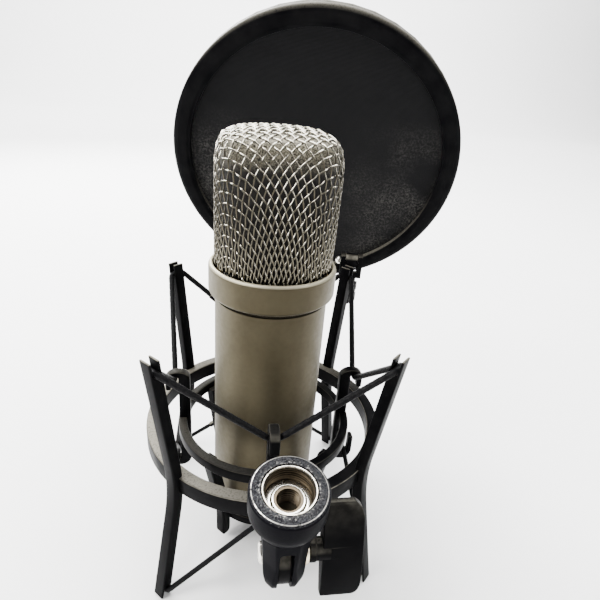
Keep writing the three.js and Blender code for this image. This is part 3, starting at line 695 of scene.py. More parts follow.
def make_floor():
    """A floor that bends up into a wall behind the object."""
    finish = Finish("pale_floor", rough=0.75, gloss=0.2)
    finish.feed(colour=finish.tint(finish.noise(0.004, 3), (0.86, 0.86, 0.86), (0.9, 0.9, 0.9)))
    reach, rise, bend = 3.0, 2.2, 0.8
    section = [(-reach, 0), (reach - bend, 0)]
    section += [tuple(p) for p in arc((reach - bend, bend), bend, -90, 0, 12)] + [(reach, rise)]
    points = [(x, y, z) for y, z in section for x in (-reach, reach)]
    faces = [(2 * i, 2 * i + 1, 2 * i + 3, 2 * i + 2) for i in range(len(section) - 1)]
    mesh = bpy.data.meshes.new("floor")
    mesh.from_pydata(points, [], faces)
    mesh.polygons.foreach_set("use_smooth", [True] * len(mesh.polygons))
    mesh.materials.append(finish.material)
    linked("floor", mesh)


# ---------------------------------------------------------------- microphone


def make_body(metal, black):
    """The body tube with its groove under the collar, painted in shade by its finish, and the collar with its
    thin lip.
    """
    inner, outer, low, high = turned_size("body_tube")
    foot, groove = 3.6, 0.6
    profile = rounded([
        (inner, low), (outer - 1.1, low), (outer, low + foot), (outer, high - 1.5),
        (outer - groove, high - 1.4), (outer - groove, high), (inner, high),
    ], [0, 0.5, 1.2, 0.3, 0.2, 0, 0])
    piece("body_shell", lathe(profile, 192), metal, "microphone", ["body_tube"])

    floor, wide, base, lip = turned_size("collar_ring")
    lip_thick, floor_top = 1.8, base + 3
    collar = rounded([
        (floor, base), (wide - 1.3, base), (wide, base + 1.3), (wide, lip - 1), (wide - lip_thick / 2, lip),
        (wide - lip_thick, lip), (wide - lip_thick, floor_top), (floor, floor_top),
    ], [0, 0.8, 0.8, 0.9, 0.45, 0.4, 0, 0])
    piece("collar_band", lathe(collar, 192), metal, "microphone", ["collar_ring"])
    make_base(metal)
    make_lock_ring(black)


def make_base(metal):
    """The base plate, with the threaded stub that the lock ring runs on."""
    bore, plug, low, high = turned_size("base_plate")
    stub, seat, pitch, depth = 12.0, 18.0, 1.25, 0.45

    def ridge(angle, radius, height):
        if radius < stub - 0.01 or not low + 0.6 <= height <= seat - 0.8:
            return 0
        return -depth * thread(angle, height, pitch)

    wall = [(stub, z) for z in np.arange(low + 0.5, seat - 0.1, pitch / 6)]
    profile = [(bore, low), (stub - 0.5, low), *wall, (stub, seat), (plug - 1.5, seat),
               (plug, seat + 1.6), (plug, high), (bore, high)]
    piece("threaded_base", lathe(profile, 96, ridge), metal, "microphone", ["base_plate"])


def make_lock_ring(black):
    hole, grip, low, high = turned_size("lock_ring")
    grooves, groove_depth = 40, 0.5

    def knurl(angle, radius, height):
        if radius < grip - 0.01 or not low + 1.3 < height < high - 2.1:
            return 0
        return -groove_depth * (0.5 - 0.5 * math.cos(grooves * angle)) ** 2

    ring = [(hole, low), (grip - 1.2, low), (grip, low + 1.2), (grip, low + 1.4), (grip, low + 2),
            (grip, high - 3), (grip, high - 2.2), (grip, high - 2), (grip - 1.6, high), (hole, high)]
    piece("knurled_lock_ring", lathe(ring, 240, knurl), black, "lock_ring", ["lock_ring"])


class Basket:
    """The grille's outer skin as a smooth surface over (distance from the crown, azimuth)."""

    def __init__(self, node, inset):
        points = points_of(node)
        radii = reach_of(points)
        azimuths = np.arctan2(points[:, 1], points[:, 0])
        heights = np.round(points[:, 2], 2)
        rows = []
        for height in sorted(set(heights), reverse=True):
            here = (heights == height) & (radii > 1)
            if here.sum() < 8:
                continue
            reach = radii[here]
            outside = reach > reach.max() * 0.55
            order = np.argsort(azimuths[here][outside])
            rows.append((height, azimuths[here][outside][order], reach[outside][order]))
        self.top = heights.max() - inset
        self.rows = self.outer_only(rows)
        self.inset = inset
        self.turns = np.linspace(-math.pi, math.pi, 289)
        lines = [self.meridian(turn) for turn in self.turns]
        self.length = min(line[-1][0] for line in lines)
        self.steps = np.linspace(0, self.length, 400)
        self.grid = np.array([
            [np.interp(self.steps, line[:, 0], line[:, k]) for k in (1, 2)] for line in lines])

    @staticmethod
    def outer_only(rows):
        """Keeps the outer skin's levels: those that are wider than the level of the same row inside."""
        kept = []
        for height, turns, reach in rows:
            if kept and np.interp(0, turns, reach) < np.interp(0, kept[-1][1], kept[-1][2]) - 0.4:
                continue
            kept.append((height, turns, reach))
        return kept

    def meridian(self, turn):
        """Distance, radius and height along one meridian, from the crown down."""
        knots = [(0.0, self.top)]
        for height, turns, reach in self.rows:
            knots.append((np.interp(turn, turns, reach, period=TURN) - self.inset, height - self.inset
                          if height > self.rows[0][0] - 3 else height))
        knots = np.array(knots)
        fine = []
        padded = np.vstack([[-knots[1][0], knots[1][1]], knots, 2 * knots[-1] - knots[-2]])
        for i in range(1, len(padded) - 2):
            before, start, end, after = padded[i - 1:i + 3]
            for t in np.linspace(0, 1, 14, endpoint=False):
                fine.append(0.5 * (2 * start + (end - before) * t
                                   + (2 * before - 5 * start + 4 * end - after) * t**2
                                   + (3 * start - before - 3 * end + after) * t**3))
        fine.append(knots[-1])
        fine = np.array(fine)
        return np.column_stack([travelled(fine), fine])

    def at(self, distance, turn):
        """Points and outward normals at distances down the surface and azimuths."""
        distance, turn = np.atleast_1d(distance), np.atleast_1d(turn)
        across = (turn + math.pi) % TURN / TURN * (len(self.turns) - 1)
        down = np.clip(distance / self.length, 0, 1) * (len(self.steps) - 1)
        i = np.minimum(across.astype(int), len(self.turns) - 2)
        j = np.minimum(down.astype(int), len(self.steps) - 2)
        fi, fj = across - i, down - j

        def mixed(k):
            low = self.grid[i, k, j] * (1 - fj) + self.grid[i, k, j + 1] * fj
            high = self.grid[i + 1, k, j] * (1 - fj) + self.grid[i + 1, k, j + 1] * fj
            return low * (1 - fi) + high * fi

        radius, height = mixed(0), mixed(1)
        after, before = np.minimum(j + 2, len(self.steps) - 1), np.maximum(j - 2, 0)
        slope = unit(self.grid[i, :, after] - self.grid[i, :, before])
        points = np.column_stack([radius * np.cos(turn), radius * np.sin(turn), height])
        normals = np.column_stack([-slope[:, 1] * np.cos(turn), -slope[:, 1] * np.sin(turn), slope[:, 0]])
        return points, normals


WIRE, WIRE_PITCH, WIRE_LIFT = 0.32, 3.15, 0.34       # a wire's radius, the weave's pitch and half its depth
LINER_GAP = 0.45


def make_weave(metal):
    """Coarse wire cloth. A flat woven sheet is drawn down over the basket: its wires close up round the
    sides, and each diamond grows taller as it narrows."""
    basket = Basket("grille_outer_mesh", WIRE + WIRE_LIFT)
    edge = basket.rows[-1][2].mean()

    # Distance down the surface for each radius of the flat sheet.
    flat = np.linspace(0, 90, 900)
    squeeze = np.minimum(1, edge / np.maximum(flat, 1e-6))
    stretch = np.sqrt(2 - squeeze**2)
    surface = np.concatenate([[0], np.cumsum((stretch[1:] + stretch[:-1]) / 2 * np.diff(flat))])
    limit = np.interp(basket.length, surface, flat)

    shells = []
    half = int(limit / WIRE_PITCH) + 1
    lean = math.radians(-45)
    for family in (0, 1):
        for row in range(-half, half):
            offset = (row + 0.5) * WIRE_PITCH
            if abs(offset) >= limit - 0.5:
                continue
            reach = math.sqrt(limit**2 - offset**2)
            along = np.arange(-reach, reach, WIRE_PITCH / 5)
            if len(along) < 4:
                continue
            x, y = (along, np.full_like(along, offset)) if family else (np.full_like(along, offset), along)
            phase = math.pi * (along / WIRE_PITCH - 0.5) + math.pi * row
            lift = np.cos(phase) * (1 if family else -1) * WIRE_LIFT
            turn = np.arctan2(y, x) + lean
            points, normals = basket.at(np.interp(np.hypot(x, y), flat, surface), turn)
            shells.append(tube(points + normals * lift[:, None], WIRE, 6))
    piece("grille_weave", joined(shells), metal, "microphone", ["grille_outer_mesh"], 180)


def make_liner(finish, brass):
    """The fine mesh behind the weave, and the ring that both are fixed to."""
    lining = Basket("grille_outer_mesh", WIRE * 2 + WIRE_LIFT * 2 + LINER_GAP)
    sides = 128
    turns = np.linspace(-math.pi, math.pi, sides, endpoint=False)
    distances = np.linspace(0.5, lining.length, 90)
    rings = [lining.at(np.full(sides, distance), turns)[0] for distance in distances]
    inside = [ring * [0.985, 0.985, 1] - [0, 0, 0.4] for ring in rings[::-1]]
    piece("grille_liner", capped([*rings, *inside]), finish, "microphone",
          ["grille_inner_mesh"], 180)

    ring = band(*turned_size("grille_base_ring"), 0.3)
    piece("grille_clamp_band", lathe(ring, 120), brass, "microphone", ["grille_base_ring"])


# ---------------------------------------------------------------- shock mount

CORNERS = {"back_right": 45, "back_left": 135, "front_left": 225, "front_right": 315}
POST_AZIMUTHS = {f"post_{corner}": azimuth for corner, azimuth in CORNERS.items()}
LEG_AZIMUTHS = {f"leg_{corner}": azimuth for corner, azimuth in CORNERS.items()}
HOOK_AZIMUTHS = {"hook_right": 0, "hook_rear": 90, "hook_left": 180, "hook_front": 270}
HOOK_BAR, HOOK_FINGER = 5.2, 2.4        # widths of a hook's bar and of its finger, across the slot
RING_INNER, RING_OUTER, RING_LOW, RING_HIGH = turned_size("outer_ring", lambda p: p[:, 1] > 5)
FORK = 1.4               # half width of the slot in a post's end
UPPER_Z = {"head": 118.2, "hook": 84.6}      # where each loop crosses the posts' ends and the hooks
LOWER_Z = {"head": 3.7, "hook": 37.6}
SPLICED_SPAN = 2         # the span with the crimp, counted from 0


def post_line():
    """A post's middle line, as height and radius at the foot, the bend and the top. Then its width across
    the middle line, and its thickness round the ring."""
    points = points_of("post_front_left", math.radians(225))
    top = points[:, 2].max()
    at_top = points[points[:, 2] > top - 0.5][:, 0]
    at_foot = points[points[:, 2] < 0.5][:, 0]
    line = [(0, (at_foot.min() + at_foot.max()) / 2), (RING_LOW + 1.3, RING_OUTER - 0.8),
            (top, (at_top.min() + at_top.max()) / 2)]
    return np.array(line), np.ptp(at_top), np.ptp(points[:, 1])


POST_LINE, POST_WIDTH, POST_THICK = post_line()
HOOK_THICK = np.ptp(points_of("hook_right")[:, 1])


def turned_to(azimuths, shell):
    """A copy of a shell at each azimuth, in degrees."""
    return [moved(shell, spin(math.radians(azimuth))) for azimuth in azimuths.values()]


def post_radius(height):
    return np.interp(height, POST_LINE[:, 0], POST_LINE[:, 1])


def post_outline():
    """A bent bar seen from the side, with a round-bottomed slot in each end."""
    half, top = POST_WIDTH / 2, POST_LINE[-1, 0]
    bend, bend_r = POST_LINE[1]
    span = 13

    def side(sign, low, high):
        t = np.linspace(0, 1, 15)
        ends = [(post_radius(low), low), (bend_r, bend), (post_radius(high), high)]
        curve = [(1 - s) ** 2 * np.array(ends[0]) + 2 * s * (1 - s) * np.array(ends[1])
                 + s**2 * np.array(ends[2]) for s in t]
        return [(r + sign * half, z) for r, z in curve]

    outer = side(1, bend - span, bend + span)
    inner = side(-1, bend - span, bend + span)[::-1]
    tip, foot = post_radius(top), post_radius(0)
    head_slot = arc((post_radius(UPPER_Z["head"]), UPPER_Z["head"]), FORK, 0, -180, 10)
    foot_slot = arc((post_radius(LOWER_Z["head"]), LOWER_Z["head"]), FORK, 180, 0, 10)

    def prong(start, first, second, end, radii):
        return rounded([start, first, second, end], [0, *radii, 0], closed=False)

    edge_first, slot_first = (0.48, 0.46), (0.46, 0.48)
    upper_end = prong(outer[-1], (tip + half, top), (tip + FORK, top), head_slot[0], edge_first)
    inner_end = prong(head_slot[-1], (tip - FORK, top), (tip - half, top), inner[0], slot_first)
    inner_foot = prong(inner[-1], (foot - half, 0), (foot - FORK, 0), foot_slot[0], edge_first)
    outer_foot = prong(foot_slot[-1], (foot + FORK, 0), (foot + half, 0), outer[0], slot_first)
    return np.concatenate([outer[:-1], upper_end, head_slot[1:-1], inner_end, inner[1:-1],
                           inner_foot, foot_slot[1:-1], outer_foot[:-1]])


def make_mount_frame(dusty):
    """The outer ring with its four forked posts, and the boss and tongue that hold the adapter."""
    ring = band(RING_INNER, RING_OUTER, RING_LOW, RING_HIGH, [0.5, 0.5, 0.75, 0.75])
    item = mesh_object("shock_mount_frame", lathe(ring, 240))
    outline = post_outline()
    prong = (outline[:, 1] > UPPER_Z["head"] - 4) | (outline[:, 1] < LOWER_Z["head"] + 4)
    post = plate(outline, POST_THICK, np.where(prong, 0.2, 0.7))

    bolt = pivot("adapter_swivel")
    end, thick, boss_width = 10.4, 4.4, 14
    root, face = -(RING_INNER + 2), -(RING_OUTER + 2.4)
    low, high = RING_LOW + 0.2, RING_HIGH - 0.9
    tongue = [(root, RING_LOW + 0.3), *arc(bolt[1:], end, 270, 90, 24), (root, RING_HIGH - 0.3)]
    boss = band(root, face, low, high, 0.8)
    forwards = [moved(shell, spin(math.radians(90)), (bolt[0], 0, 0))
                for shell in (plate(tongue, thick, 0.35), plate(boss, boss_width, 0.8))]
    combine(item, [*turned_to(POST_AZIMUTHS, post), *forwards], "UNION")
    dressed(item, dusty, "mount_frame", ["outer_ring", *POST_AZIMUTHS], 32)


def hook_slot():
    """Half the width of a hook's slot, and the radius of its middle."""
    inner, outer = extent(points_of("hook_right"), 0)
    half = (outer - HOOK_FINGER - inner - HOOK_BAR) / 2
    return half, inner + HOOK_BAR + half


def hook_outline():
    """A bar with a hook at each end. The slots of the hooks hold the elastics."""
    points = points_of("hook_right")
    inner, outer = extent(points, 0)
    bottom, top = extent(points)
    reach = (outer - inner) / 2
    slot, slot_middle = hook_slot()
    rise = 4.0
    arch, cup = top - rise, bottom + reach
    middle, slot_edge = inner + reach, outer - HOOK_FINGER
    low_tip = rounded([(outer, cup), (outer, cup + 9), (slot_edge, cup + 9.4), (slot_edge, cup)],
                      [0, 1.1, 0.9, 0], closed=False)
    high_tip = rounded([(slot_edge, arch), (slot_edge, arch - 6), (outer, arch - 6.2), (outer, arch)],
                       [0, 1.0, 1.1, 0], closed=False)
    crown = arc((0, 0), 1, 0, 180, 24) * (reach, rise) + (middle, arch)
    return np.concatenate([
        arc((middle, cup), reach, 180, 360, 24)[:-1], low_tip, arc((slot_middle, cup), slot, 0, -180, 14)[1:],
        arc((slot_middle, arch), slot, 180, 0, 14), high_tip[1:-1], crown])


def leg_outline():
    """A leg leans in from the cradle's ring to its foot, where it turns upright beside the base."""
    points = points_of("leg_front_left", math.radians(225))
    foot, top = extent(points)
    at_top = points[points[:, 2] > top - 0.2][:, 0]
    inner_foot = points[points[:, 2] < 12][:, 0].min()
    half = np.ptp(at_top) / 2
    foot_r, top_r = inner_foot + half, (at_top.min() + at_top.max()) / 2
    knee = 22
    corners = [(top_r - half, top + 2), (foot_r - half, knee), (foot_r - half, foot + half),
               (foot_r - half * 0.8, foot), (foot_r + half * 0.8, foot), (foot_r + half, foot + half),
               (foot_r + half, knee - 2), (top_r + half, top + 2)]
    return rounded(corners, [0, 6, 1, 1.6, 1.6, 1, 6, 0], 6)


def make_cradle(dusty):
    """The inner ring with its double hooks, and the legs that carry the base under the microphone."""
    ring = band(*turned_size("cradle_ring"), [0.4, 0.4, 0.65, 0.65])
    item = mesh_object("cradle_frame", lathe(ring, 240))
    leg_thick = np.ptp(points_of("leg_front_left", math.radians(225))[:, 1])
    hook = plate(hook_outline(), HOOK_THICK, 0.6)
    leg = plate(leg_outline(), leg_thick, 0.6)
    bore, wall, under, over = turned_size("cradle_base")
    plinth = lathe(band(bore, wall + 0.6, under, over, 0.6), 160)
    combine(item, [*turned_to(HOOK_AZIMUTHS, hook), *turned_to(LEG_AZIMUTHS, leg), plinth], "UNION")
    dressed(item, dusty, "cradle",
            ["cradle_ring", "cradle_base", *HOOK_AZIMUTHS, *LEG_AZIMUTHS], 32)


def braid(turns, pitch, depth):
    """Radius of a braided cord: two crossing sets of strands, one over the other by turns."""

    def wave(distance, angle):
        one = np.cos(turns * angle + TURN * distance / pitch)
        other = np.cos(turns * angle - TURN * distance / pitch)
        return 1 - depth + depth * np.maximum(one, other)

    return wave


def make_elastics(cord_finish, crimp_finish):
    """Each loop of elastic is eight spans, every one from the middle of a hook to the middle of a post."""
    for level, heights, diameter in (("upper", UPPER_Z, 2.75), ("lower", LOWER_Z, 2.4)):
        at_hook = np.array([hook_slot()[1], 0, heights["hook"]])
        at_post = np.array([post_radius(heights["head"]), 0, heights["head"]])
        for index in range(8):
            side = -1 if index % 2 else 1
            to_hook = spin(math.radians(90 * (index // 2))).T
            to_post = spin(math.radians(90 * (index // 2) + 45 * side)).T
            corners = [at_hook @ to_hook,
                       (at_hook + [0, side * (HOOK_THICK / 2 + 0.6), 0]) @ to_hook,
                       (at_post - [0, side * (POST_THICK / 2 + 0.7), 0]) @ to_post,
                       at_post @ to_post]
            path = resampled(rounded(corners, [0, 2.2, 2.6, 0], 12, closed=False), 0.22)
            item = mesh_object(f"{level}_elastic_span_{index + 1}",
                               tube(path, diameter / 2, 24, braid(6, diameter * 1.35, 0.075)))
            stands_for = [] if index else [f"{level}_elastic"]
            dressed(item, cord_finish, None, stands_for, 180)
            ends = [tuple(corner * MM + AXIS) for corner in (corners[2], corners[1])]
            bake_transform(item)
            if index == SPLICED_SPAN:
                make_crimp(level, corners[1], corners[2], diameter, crimp_finish)


def make_crimp(level, hook_end, post_end, diameter, finish):
    """The sleeve that closes the loop, swaged down at both ends over a wrapped splice."""
    points = points_of(f"{level}_ferrule")
    direction = (post_end - hook_end) / np.linalg.norm(post_end - hook_end)
    middle = hook_end + direction * ((points.mean(0) - hook_end) @ direction)
    half = 4.0
    path = middle + np.linspace(-half, half, 41)[:, None] * direction
    radius = diameter / 2 + 0.42

    def swage(distance, angle):
        from_end = np.minimum(distance, 2 * half - distance)
        lip = np.clip(from_end / 0.8, 0, 1) ** 0.5
        dents = 0.05 * np.exp(-((distance - half) / 0.9) ** 2) * np.cos(6 * angle)
        return (0.86 + 0.14 * lip) * np.ones_like(angle) - dents

    item = mesh_object(f"{level}_crimp", tube(path, radius, 32, swage))
    dressed(item, finish, None, [f"{level}_ferrule"], 60)
    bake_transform(item)


# ---------------------------------------------------------------- stand adapter


ADAPTER_CENTRE = pivot("adapter_swivel")
ADAPTER_AXIS = np.array(JOINTS["reducer_turn"]["axis"])
ADAPTER_TURN = spin(math.atan2(-ADAPTER_AXIS[1], ADAPTER_AXIS[2]), "X")
ACROSS = spin(math.radians(90), "Y")     # lays what is turned about Z along the bolt


def in_adapter(node):
    """A node's vertices in the adapter's own directions: the bolt along X, and the socket along Z."""
    return (points_of(node) - ADAPTER_CENTRE) @ ADAPTER_TURN


def put(shell):
    """Takes a shell from the adapter's own directions to its place."""
    return moved(shell, ADAPTER_TURN, ADAPTER_CENTRE)


def octagon(half_x, half_y, cut, z):
    """A rectangle with its corners cut off, and each edge a little rounded."""
    cut = min(cut, half_x * 0.75, half_y * 0.75)
    quarter = [(half_x, half_y - cut), (half_x - cut, half_y)]
    across = [(-x, y) for x, y in quarter[::-1]]
    line = rounded([(half_x, -half_y + cut), *quarter, *across, *[(x, -y) for x, y in across[::-1]],
                    (half_x - cut, -half_y)], 0.5, 3)
    return np.column_stack([line, np.full(len(line), z)])


def adapter_neck(foot, cheek):
    """A bar with cut corners, from its round foot up into the socket. cheek is its half depth at the bolt."""
    levels = []
    for z in np.concatenate([foot + np.array([0.02, 0.5, 1.2, 2.2]), np.linspace(foot + 3.4, 24.5, 26)]):
        half_x = np.interp(z, [foot, 0.5, 25], [5.0, 7.3, 8.6])
        half_y = math.sqrt(max(cheek**2 - z**2, 1)) if z < 0 else np.interp(z, [0, 24], [cheek, 10.2])
        levels.append(octagon(half_x, half_y, np.interp(z, [foot, 8], [1.3, 4.2]), z))
    return capped(levels)


def make_socket(paint):
    """The adapter's body: a round socket on a neck with a slot, in which the mount's tongue sits."""
    local = in_adapter("stand_adapter")
    foot_z, mouth_z = extent(local)
    at_mouth = reach_of(local)[local[:, 2] > mouth_z - 1.5]
    mouth_r, bore_r = at_mouth.max(), at_mouth.min()
    floor_z = in_adapter("thread_insert")[:, 2].min() - 0.3
    cheek = np.abs(local[local[:, 2] < 1][:, 1]).max()
    head_z, wide_z, centre_r = 21, 26.8, 0.02
    head = rounded([(0, head_z), (10.6, head_z), (mouth_r, wide_z), (mouth_r, mouth_z - 1),
                    (mouth_r - 1, mouth_z), (0, mouth_z)], [0, 1.5, 2.5, 0.35, 0.35, 0])
    slot_half, slot_end = 2.5, 16.5
    slot = plate(rounded([(-slot_half, -16), (slot_half, -16), (slot_half, slot_end), (-slot_half, slot_end)],
                         [0, 0, 1.6, 1.6], 5), 44, 0.01)
    bore = capped([circle(bore_r, 128, z) for z in (floor_z, mouth_z + 3)])

    def drill(radius, start, end):
        return moved(capped([circle(radius, 48, x) for x in (start, end)]), ACROSS)

    # The boolean work is done at the origin, in the adapter's own directions, and then put in place.
    item = mesh_object("adapter_socket", capped([circle(max(r, centre_r), 160, z) for r, z in head]))
    item.data.transform(Matrix.Translation(-Vector(AXIS)))
    cuts = [slot, bore, drill(2.8, -12, 12), drill(4.8, -12, -5.6)]
    combine(item, [moved(adapter_neck(foot_z, cheek), None, -AXIS / MM)], "UNION")
    combine(item, [moved(shell, None, -AXIS / MM) for shell in cuts], "DIFFERENCE")
    place = Matrix.Translation(Vector(AXIS + ADAPTER_CENTRE * MM)) @ Matrix(ADAPTER_TURN).to_4x4()
    item.data.transform(place)
    dressed(item, paint, "stand_adapter", ["stand_adapter"], 28)


def make_sleeve(metal):
    """The threaded sleeve in the socket, with a plain lip."""
    insert = in_adapter("thread_insert")
    inner, outer = reach_of(insert).min(), reach_of(insert).max()
    low, high = extent(insert)
    pitch, depth = 0.94, 0.42

    def inner_thread(angle, radius, height):
        if radius > inner + 0.3 or not low + 0.4 <= height <= high - 1.2:
            return 0
        return depth * thread(angle, height, pitch)

    inside = [(inner, z) for z in np.arange(high - 1.0, low + 0.1, -pitch / 6)]
    profile = [(inner, low), (outer, low), (outer, high - 0.3), (outer - 0.3, high), (inner + 0.6, high),
               *inside]
    piece("threaded_sleeve", put(lathe(profile, 128, inner_thread)), metal, "stand_adapter",
          ["thread_insert"], 40)


def make_reducer(metal):
    """The thread reducer in the floor of the socket, with a raised rim round its hole."""
    points = in_adapter("thread_reducer")
    inner, outer = reach_of(points).min(), reach_of(points).max()
    low, high = extent(points)
    pitch, root, depth = 1.27, -0.1, 0.75
    shelf = high - 0.75

    def hole_thread(angle, radius, height):
        if radius > inner + 0.3 or height > high - 0.7:
            return 0
        return root + depth * thread(angle, height, pitch)

    inside = [(inner, z) for z in np.arange(high - 0.5, low + 0.1, -pitch / 8)]
    profile = [(inner, low), (outer, low), (outer, high - 1.0), (outer - 0.4, shelf), (inner + 2.1, shelf),
               (inner + 1.8, high - 0.2), (inner + 1.5, high), (inner + 1.0, high),
               (inner + 0.8, high - 0.45), (inner + 0.35, high - 0.5), *inside]
    piece("threaded_reducer", put(lathe(profile, 128, hole_thread)), metal, "thread_reducer",
          ["thread_reducer"], 40)


def make_bolt(silver, brass):
    """The pivot bolt with its domed hexagon head, and a cupped washer under the knob."""
    bolt = in_adapter("pivot_bolt")
    start, end = extent(bolt, 0)
    corner_r, shank_r, lean = 4.0, 2.45, 0.26
    hexagon = []
    for depth, scale in ((0, 0.72), (0.25, 0.9), (0.7, 1.0), (2.7, 1.0)):
        angles = np.arange(6) * TURN / 6 + lean
        ring = corner_r * scale * np.column_stack([np.cos(angles), np.sin(angles)])
        hexagon.append([(start + depth, y, z) for y, z in rounded(ring, 0.5 if scale == 1 else 1.4)])
    shank = [circle(shank_r, 40, x)[:, [2, 0, 1]] for x in (start + 2.0, end - 0.4)]
    piece("hex_bolt", joined([put(capped(hexagon)), put(capped(shank))]), silver, "stand_adapter",
          ["pivot_bolt"])

    near, far = extent(in_adapter("knob_washer"), 0)
    hole = 2.7
    section = rounded([(hole, near), (5.7, near), (5.2, (near + far) / 2), (4.8, far), (hole, far)],
                      [0, 0.3, 0.6, 0.3, 0])
    piece("cupped_washer", put(moved(lathe(section, 96), ACROSS)), brass, "stand_adapter",
          ["knob_washer"])


def make_knob(black):
    """A flat paddle, thicker in the middle, on a short boss with a raised collar."""
    points = points_of("tension_knob") - ADAPTER_CENTRE
    wing = points[points[:, 0] > points[:, 0].max() - 8]
    spread = np.linalg.svd(wing[:, 1:] - wing[:, 1:].mean(0))[2][0]
    spread = spread * math.copysign(1, spread[1])
    turn = spin(math.atan2(-spread[0], spread[1]), "X")
    local = points @ turn
    half, right = np.abs(local[:, 2]).max(), local[:, 0].max()
    left = local[np.abs(local[:, 2]) > 8][:, 0].min()
    ends = np.array([0, 0.12, 0.35, 0.7])
    round_r, thin, swell = 0.7, 1.6, 1.9
    levels = []
    for z in np.concatenate([ends - half, np.linspace(-half + 1.2, half - 1.2, 36), half - ends[::-1]]):
        share = min(half - abs(z), round_r) / round_r
        inset = 0.55 * (1 - math.sqrt(max(0, 1 - (1 - share) ** 2)))
        thick = thin + swell * (1 - (z / half) ** 2) - inset
        edge = right - inset - np.interp(z, [-half, -half + 1.6, -half + 4.5, half - 6, half - 2.4, half],
                                         [3, 0.8, 0, 0, 1, 3.4])
        line = rounded([(left + inset, -thick), (edge, -thick), (edge, thick), (left + inset, thick)], 0.55)
        levels.append(np.column_stack([line, np.full(len(line), z)]))
    start, hole, collar, neck = local[:, 0].min(), 2.9, 4.5, 4.1
    section = rounded([(hole, start), (collar, start), (collar, start + 2.2), (neck, start + 2.5),
                       (neck, left + 3), (hole, left + 3)], [0, 0.4, 0.3, 0.3, 0, 0])
    boss = moved(lathe(section, 72), ACROSS)
    item = mesh_object("tension_paddle", moved(capped(levels), turn, ADAPTER_CENTRE))
    combine(item, [moved(boss, turn, ADAPTER_CENTRE)], "UNION")
    dressed(item, black, "tension_knob", ["tension_knob"], 35)


# ---------------------------------------------------------------- pop shield


def shield_place():
    """Centre of the front sheet, and the disc's own directions: across, down and towards the microphone."""
    points = points_of("shield_front_mesh")
    across = np.array(JOINTS["shield_tilt"]["axis"])
    facing = np.linalg.svd(points - points.mean(0))[2][2]
    facing = facing * math.copysign(1, -facing[1])
    return points.mean(0), across, np.cross(across, facing)


def make_shield(black, fabric):
    centre, across, down = shield_place()
    turn = np.column_stack([-across, down, np.cross(-across, down)])
    pin_reach = 75.6         # the hinge's lug stands out past this radius

    def local(node):
        return (points_of(node) - centre) @ turn

    points = local("shield_front_ring")
    radii, depths = reach_of(points), points[:, 2]
    inner, outer = radii.min(), radii[radii < pin_reach].max()
    front, back = depths[radii < pin_reach].max(), depths[radii < pin_reach].min()
    grip, seat = inner + 1.4, front - 3.4
    lip = rounded([(inner, seat), (inner, front - 1), (inner + 1.8, front), (outer - 2.1, front),
                   (outer, front - 1.5), (outer, back), (grip, back), (grip, seat)],
                  [0, 0.5, 1.0, 1.2, 1.2, 0.3, 0, 0], 6)
    piece("shield_front_hoop", moved(lathe(lip, 256), turn, centre), black, "pop_shield",
          ["shield_front_ring"])
    for name, sag in (("front", -0.35), ("rear", 0.35)):
        node = f"shield_{name}_mesh"
        points = local(node)
        radius, middle = reach_of(points).max(), points[:, 2].mean()
        sheet(f"shield_{name}_fabric", radius, middle, sag, turn, centre, fabric, node)
    refined("shield_rear_hoop", "shield_rear_ring", 0.35, black, "pop_shield")


def sheet(name, radius, middle, sag, turn, centre, fabric, node):
    """A disc of fabric stretched in its hoop. It sags a little and is rippled where the hoop grips it."""
    sides, thick, ripples = 180, 0.12, 36
    radii = np.concatenate([np.linspace(0.4, radius - 6, 34), np.linspace(radius - 5.4, radius, 12)])
    angles = np.arange(sides) * TURN / sides
    rings = []
    for r in radii:
        share = r / radius
        pull = 0.16 * share**10 * np.cos(ripples * angles + 1.7 * np.sin(3 * angles))
        height = middle + sag * (1 - share**2) + pull
        rings.append(np.column_stack([r * np.cos(angles), r * np.sin(angles), height]))
    front = np.array(rings) + [0, 0, thick / 2]
    back = np.array(rings)[::-1] - [0, 0, thick / 2]
    item = piece(name, moved(capped([*front, *back]), turn, centre), fabric, "pop_shield",
                 [node], 60)
    2 * radius * MM
    2 * radius * MM
    math.pi * (radius * MM) ** 2


def make_shield_arm(black, silver):
    refined("shield_arm_bar", "shield_arm", 0.45, black, "shield_arm")
    refined("shield_clip", "shield_bracket", 0.4, black, "mount_frame")
    hinge = np.array(JOINTS["arm_screw_turn"]["axis"])
    centre = pivot("arm_screw_turn")
    turn = np.column_stack([np.cross(hinge, (0, 0, 1)), (0, 0, 1), -hinge])
    points = (points_of("arm_screw") - centre) @ turn
    tail, head = extent(points)
    middle, stem, under = 0.02, 1.5, head - 2.8
    dome = rounded([(middle, head), (1.3, head - 0.4), (2.3, head - 1.6), (2.4, under), (stem, under),
                    (stem, tail), (middle, tail)], [0, 1, 1, 0.3, 0, 0.3, 0], 5)
    piece("domed_thumb_screw", moved(lathe(dome, 64), turn, centre), silver, "arm_screw",
          ["arm_screw"])
    refined("rim_hinge_pin", "rim_pin", 0.25, silver, "shield_arm")
    refined("clip_screw", "bracket_screw", 0.3, black, "mount_frame")


# ---------------------------------------------------------------- pieces that keep the CAD shape


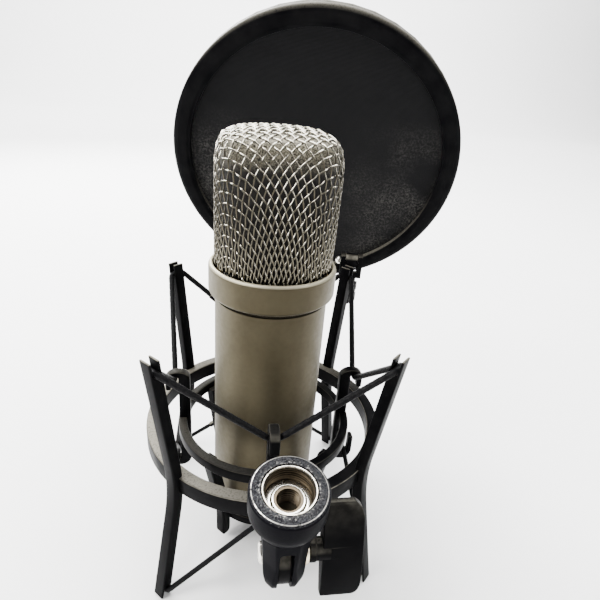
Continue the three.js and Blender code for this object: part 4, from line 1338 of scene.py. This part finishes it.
def keep_inner_pieces(silver, brass):
    gold = plain_finish("gold_film", (0.85, 0.66, 0.3), 0.22, 1.0)
    steel = plain_finish("chassis_metal", (0.66, 0.66, 0.64), 0.4, 0.9)
    green = plain_finish("circuit_laminate", (0.05, 0.2, 0.09), 0.45)
    soft = plain_finish("saddle_rubber", (0.03, 0.03, 0.03), 0.75)
    dark = plain_finish("insulator", (0.02, 0.02, 0.022), 0.5)
    wanted = {
        gold: ["diaphragm_front", "diaphragm_rear"],
        brass: ["capsule_backplate", "clamp_ring_front", "clamp_ring_rear"],
        steel: ["capsule_platform", "chassis_rail_left", "chassis_rail_right", "chassis_screw_left",
                "chassis_screw_right"],
        silver: ["xlr_shell", "xlr_pin_1", "xlr_pin_2", "xlr_pin_3"],
        green: ["circuit_board"],
        soft: ["capsule_saddle"],
        dark: ["xlr_insert"],
    }
    for finish, names in wanted.items():
        for name in names:
            node = frame["nodes"][name]
            node.data.materials.clear()
            node.data.materials.append(finish)
            edge = node.modifiers.new("edge", "BEVEL")
            edge.width = 0.15 * MM
            edge.segments = 2
            edge.limit_method = "ANGLE"


# ---------------------------------------------------------------- the scene

make_camera()
make_studio()

champagne = champagne_metal(turned_size("body_tube")[3], turned_size("collar_ring")[3])
silver_metal = plated_metal("silver_plate", (0.84, 0.81, 0.74))
cream_brass = plated_metal("cream_brass", (0.86, 0.76, 0.56), 0.28, 0.4)
old_brass = plated_metal("old_brass", (0.62, 0.48, 0.25), 0.35, 0.5)
mount_plastic = black_plastic("mount_plastic", dust_and_highlight=0.5, edge_highlight=0.3)
cradle_plastic = black_plastic("cradle_plastic", dust_and_highlight=0.08, edge_highlight=0.06)
smooth_plastic = black_plastic("smooth_plastic", shine=0.3)
knob_plastic = black_plastic("knob_plastic", 0.12, 0.42, gloss=0.012, edge_highlight=0.03, dust_and_highlight_from=0.93,
                             everywhere=True)
# On the hoop the pale upward faces are a painted highlight along its top rim.
hoop_plastic = black_plastic("hoop_plastic", 0.27, 0.36, gloss=0.012, edge_highlight=0.02, dust_and_highlight_from=0.12,
                             everywhere=True)

make_body(champagne, smooth_plastic)
grille_top = points_of("grille_outer_mesh")[:, 2].max()
make_weave(bright_wire(grille_top))
make_liner(fine_liner(grille_top), old_brass)
make_mount_frame(mount_plastic)
make_cradle(cradle_plastic)
make_elastics(braided_cord(), smooth_plastic)

mouth_height = in_adapter("stand_adapter")[:, 2].max()
mouth = (ADAPTER_CENTRE + ADAPTER_AXIS * mouth_height) * MM + AXIS
make_socket(worn_paint(mouth, ADAPTER_AXIS, 9.6, 13.5))
make_sleeve(plated_metal("sleeve_plate", (0.6, 0.56, 0.48), 0.22, 0.95, (mouth, ADAPTER_AXIS, 9.0, -0.6)))
make_reducer(plated_metal("reducer_plate", (0.9, 0.87, 0.8), 0.25, 0.15, (mouth, ADAPTER_AXIS, 4.9, -5.2)))
make_bolt(silver_metal, cream_brass)
make_knob(knob_plastic)

shield_centre, shield_across, shield_down = shield_place()
make_shield(hoop_plastic, pop_fabric(shield_across, shield_down, shield_centre * MM + AXIS))
make_shield_arm(smooth_plastic, silver_metal)
keep_inner_pieces(silver_metal, old_brass)
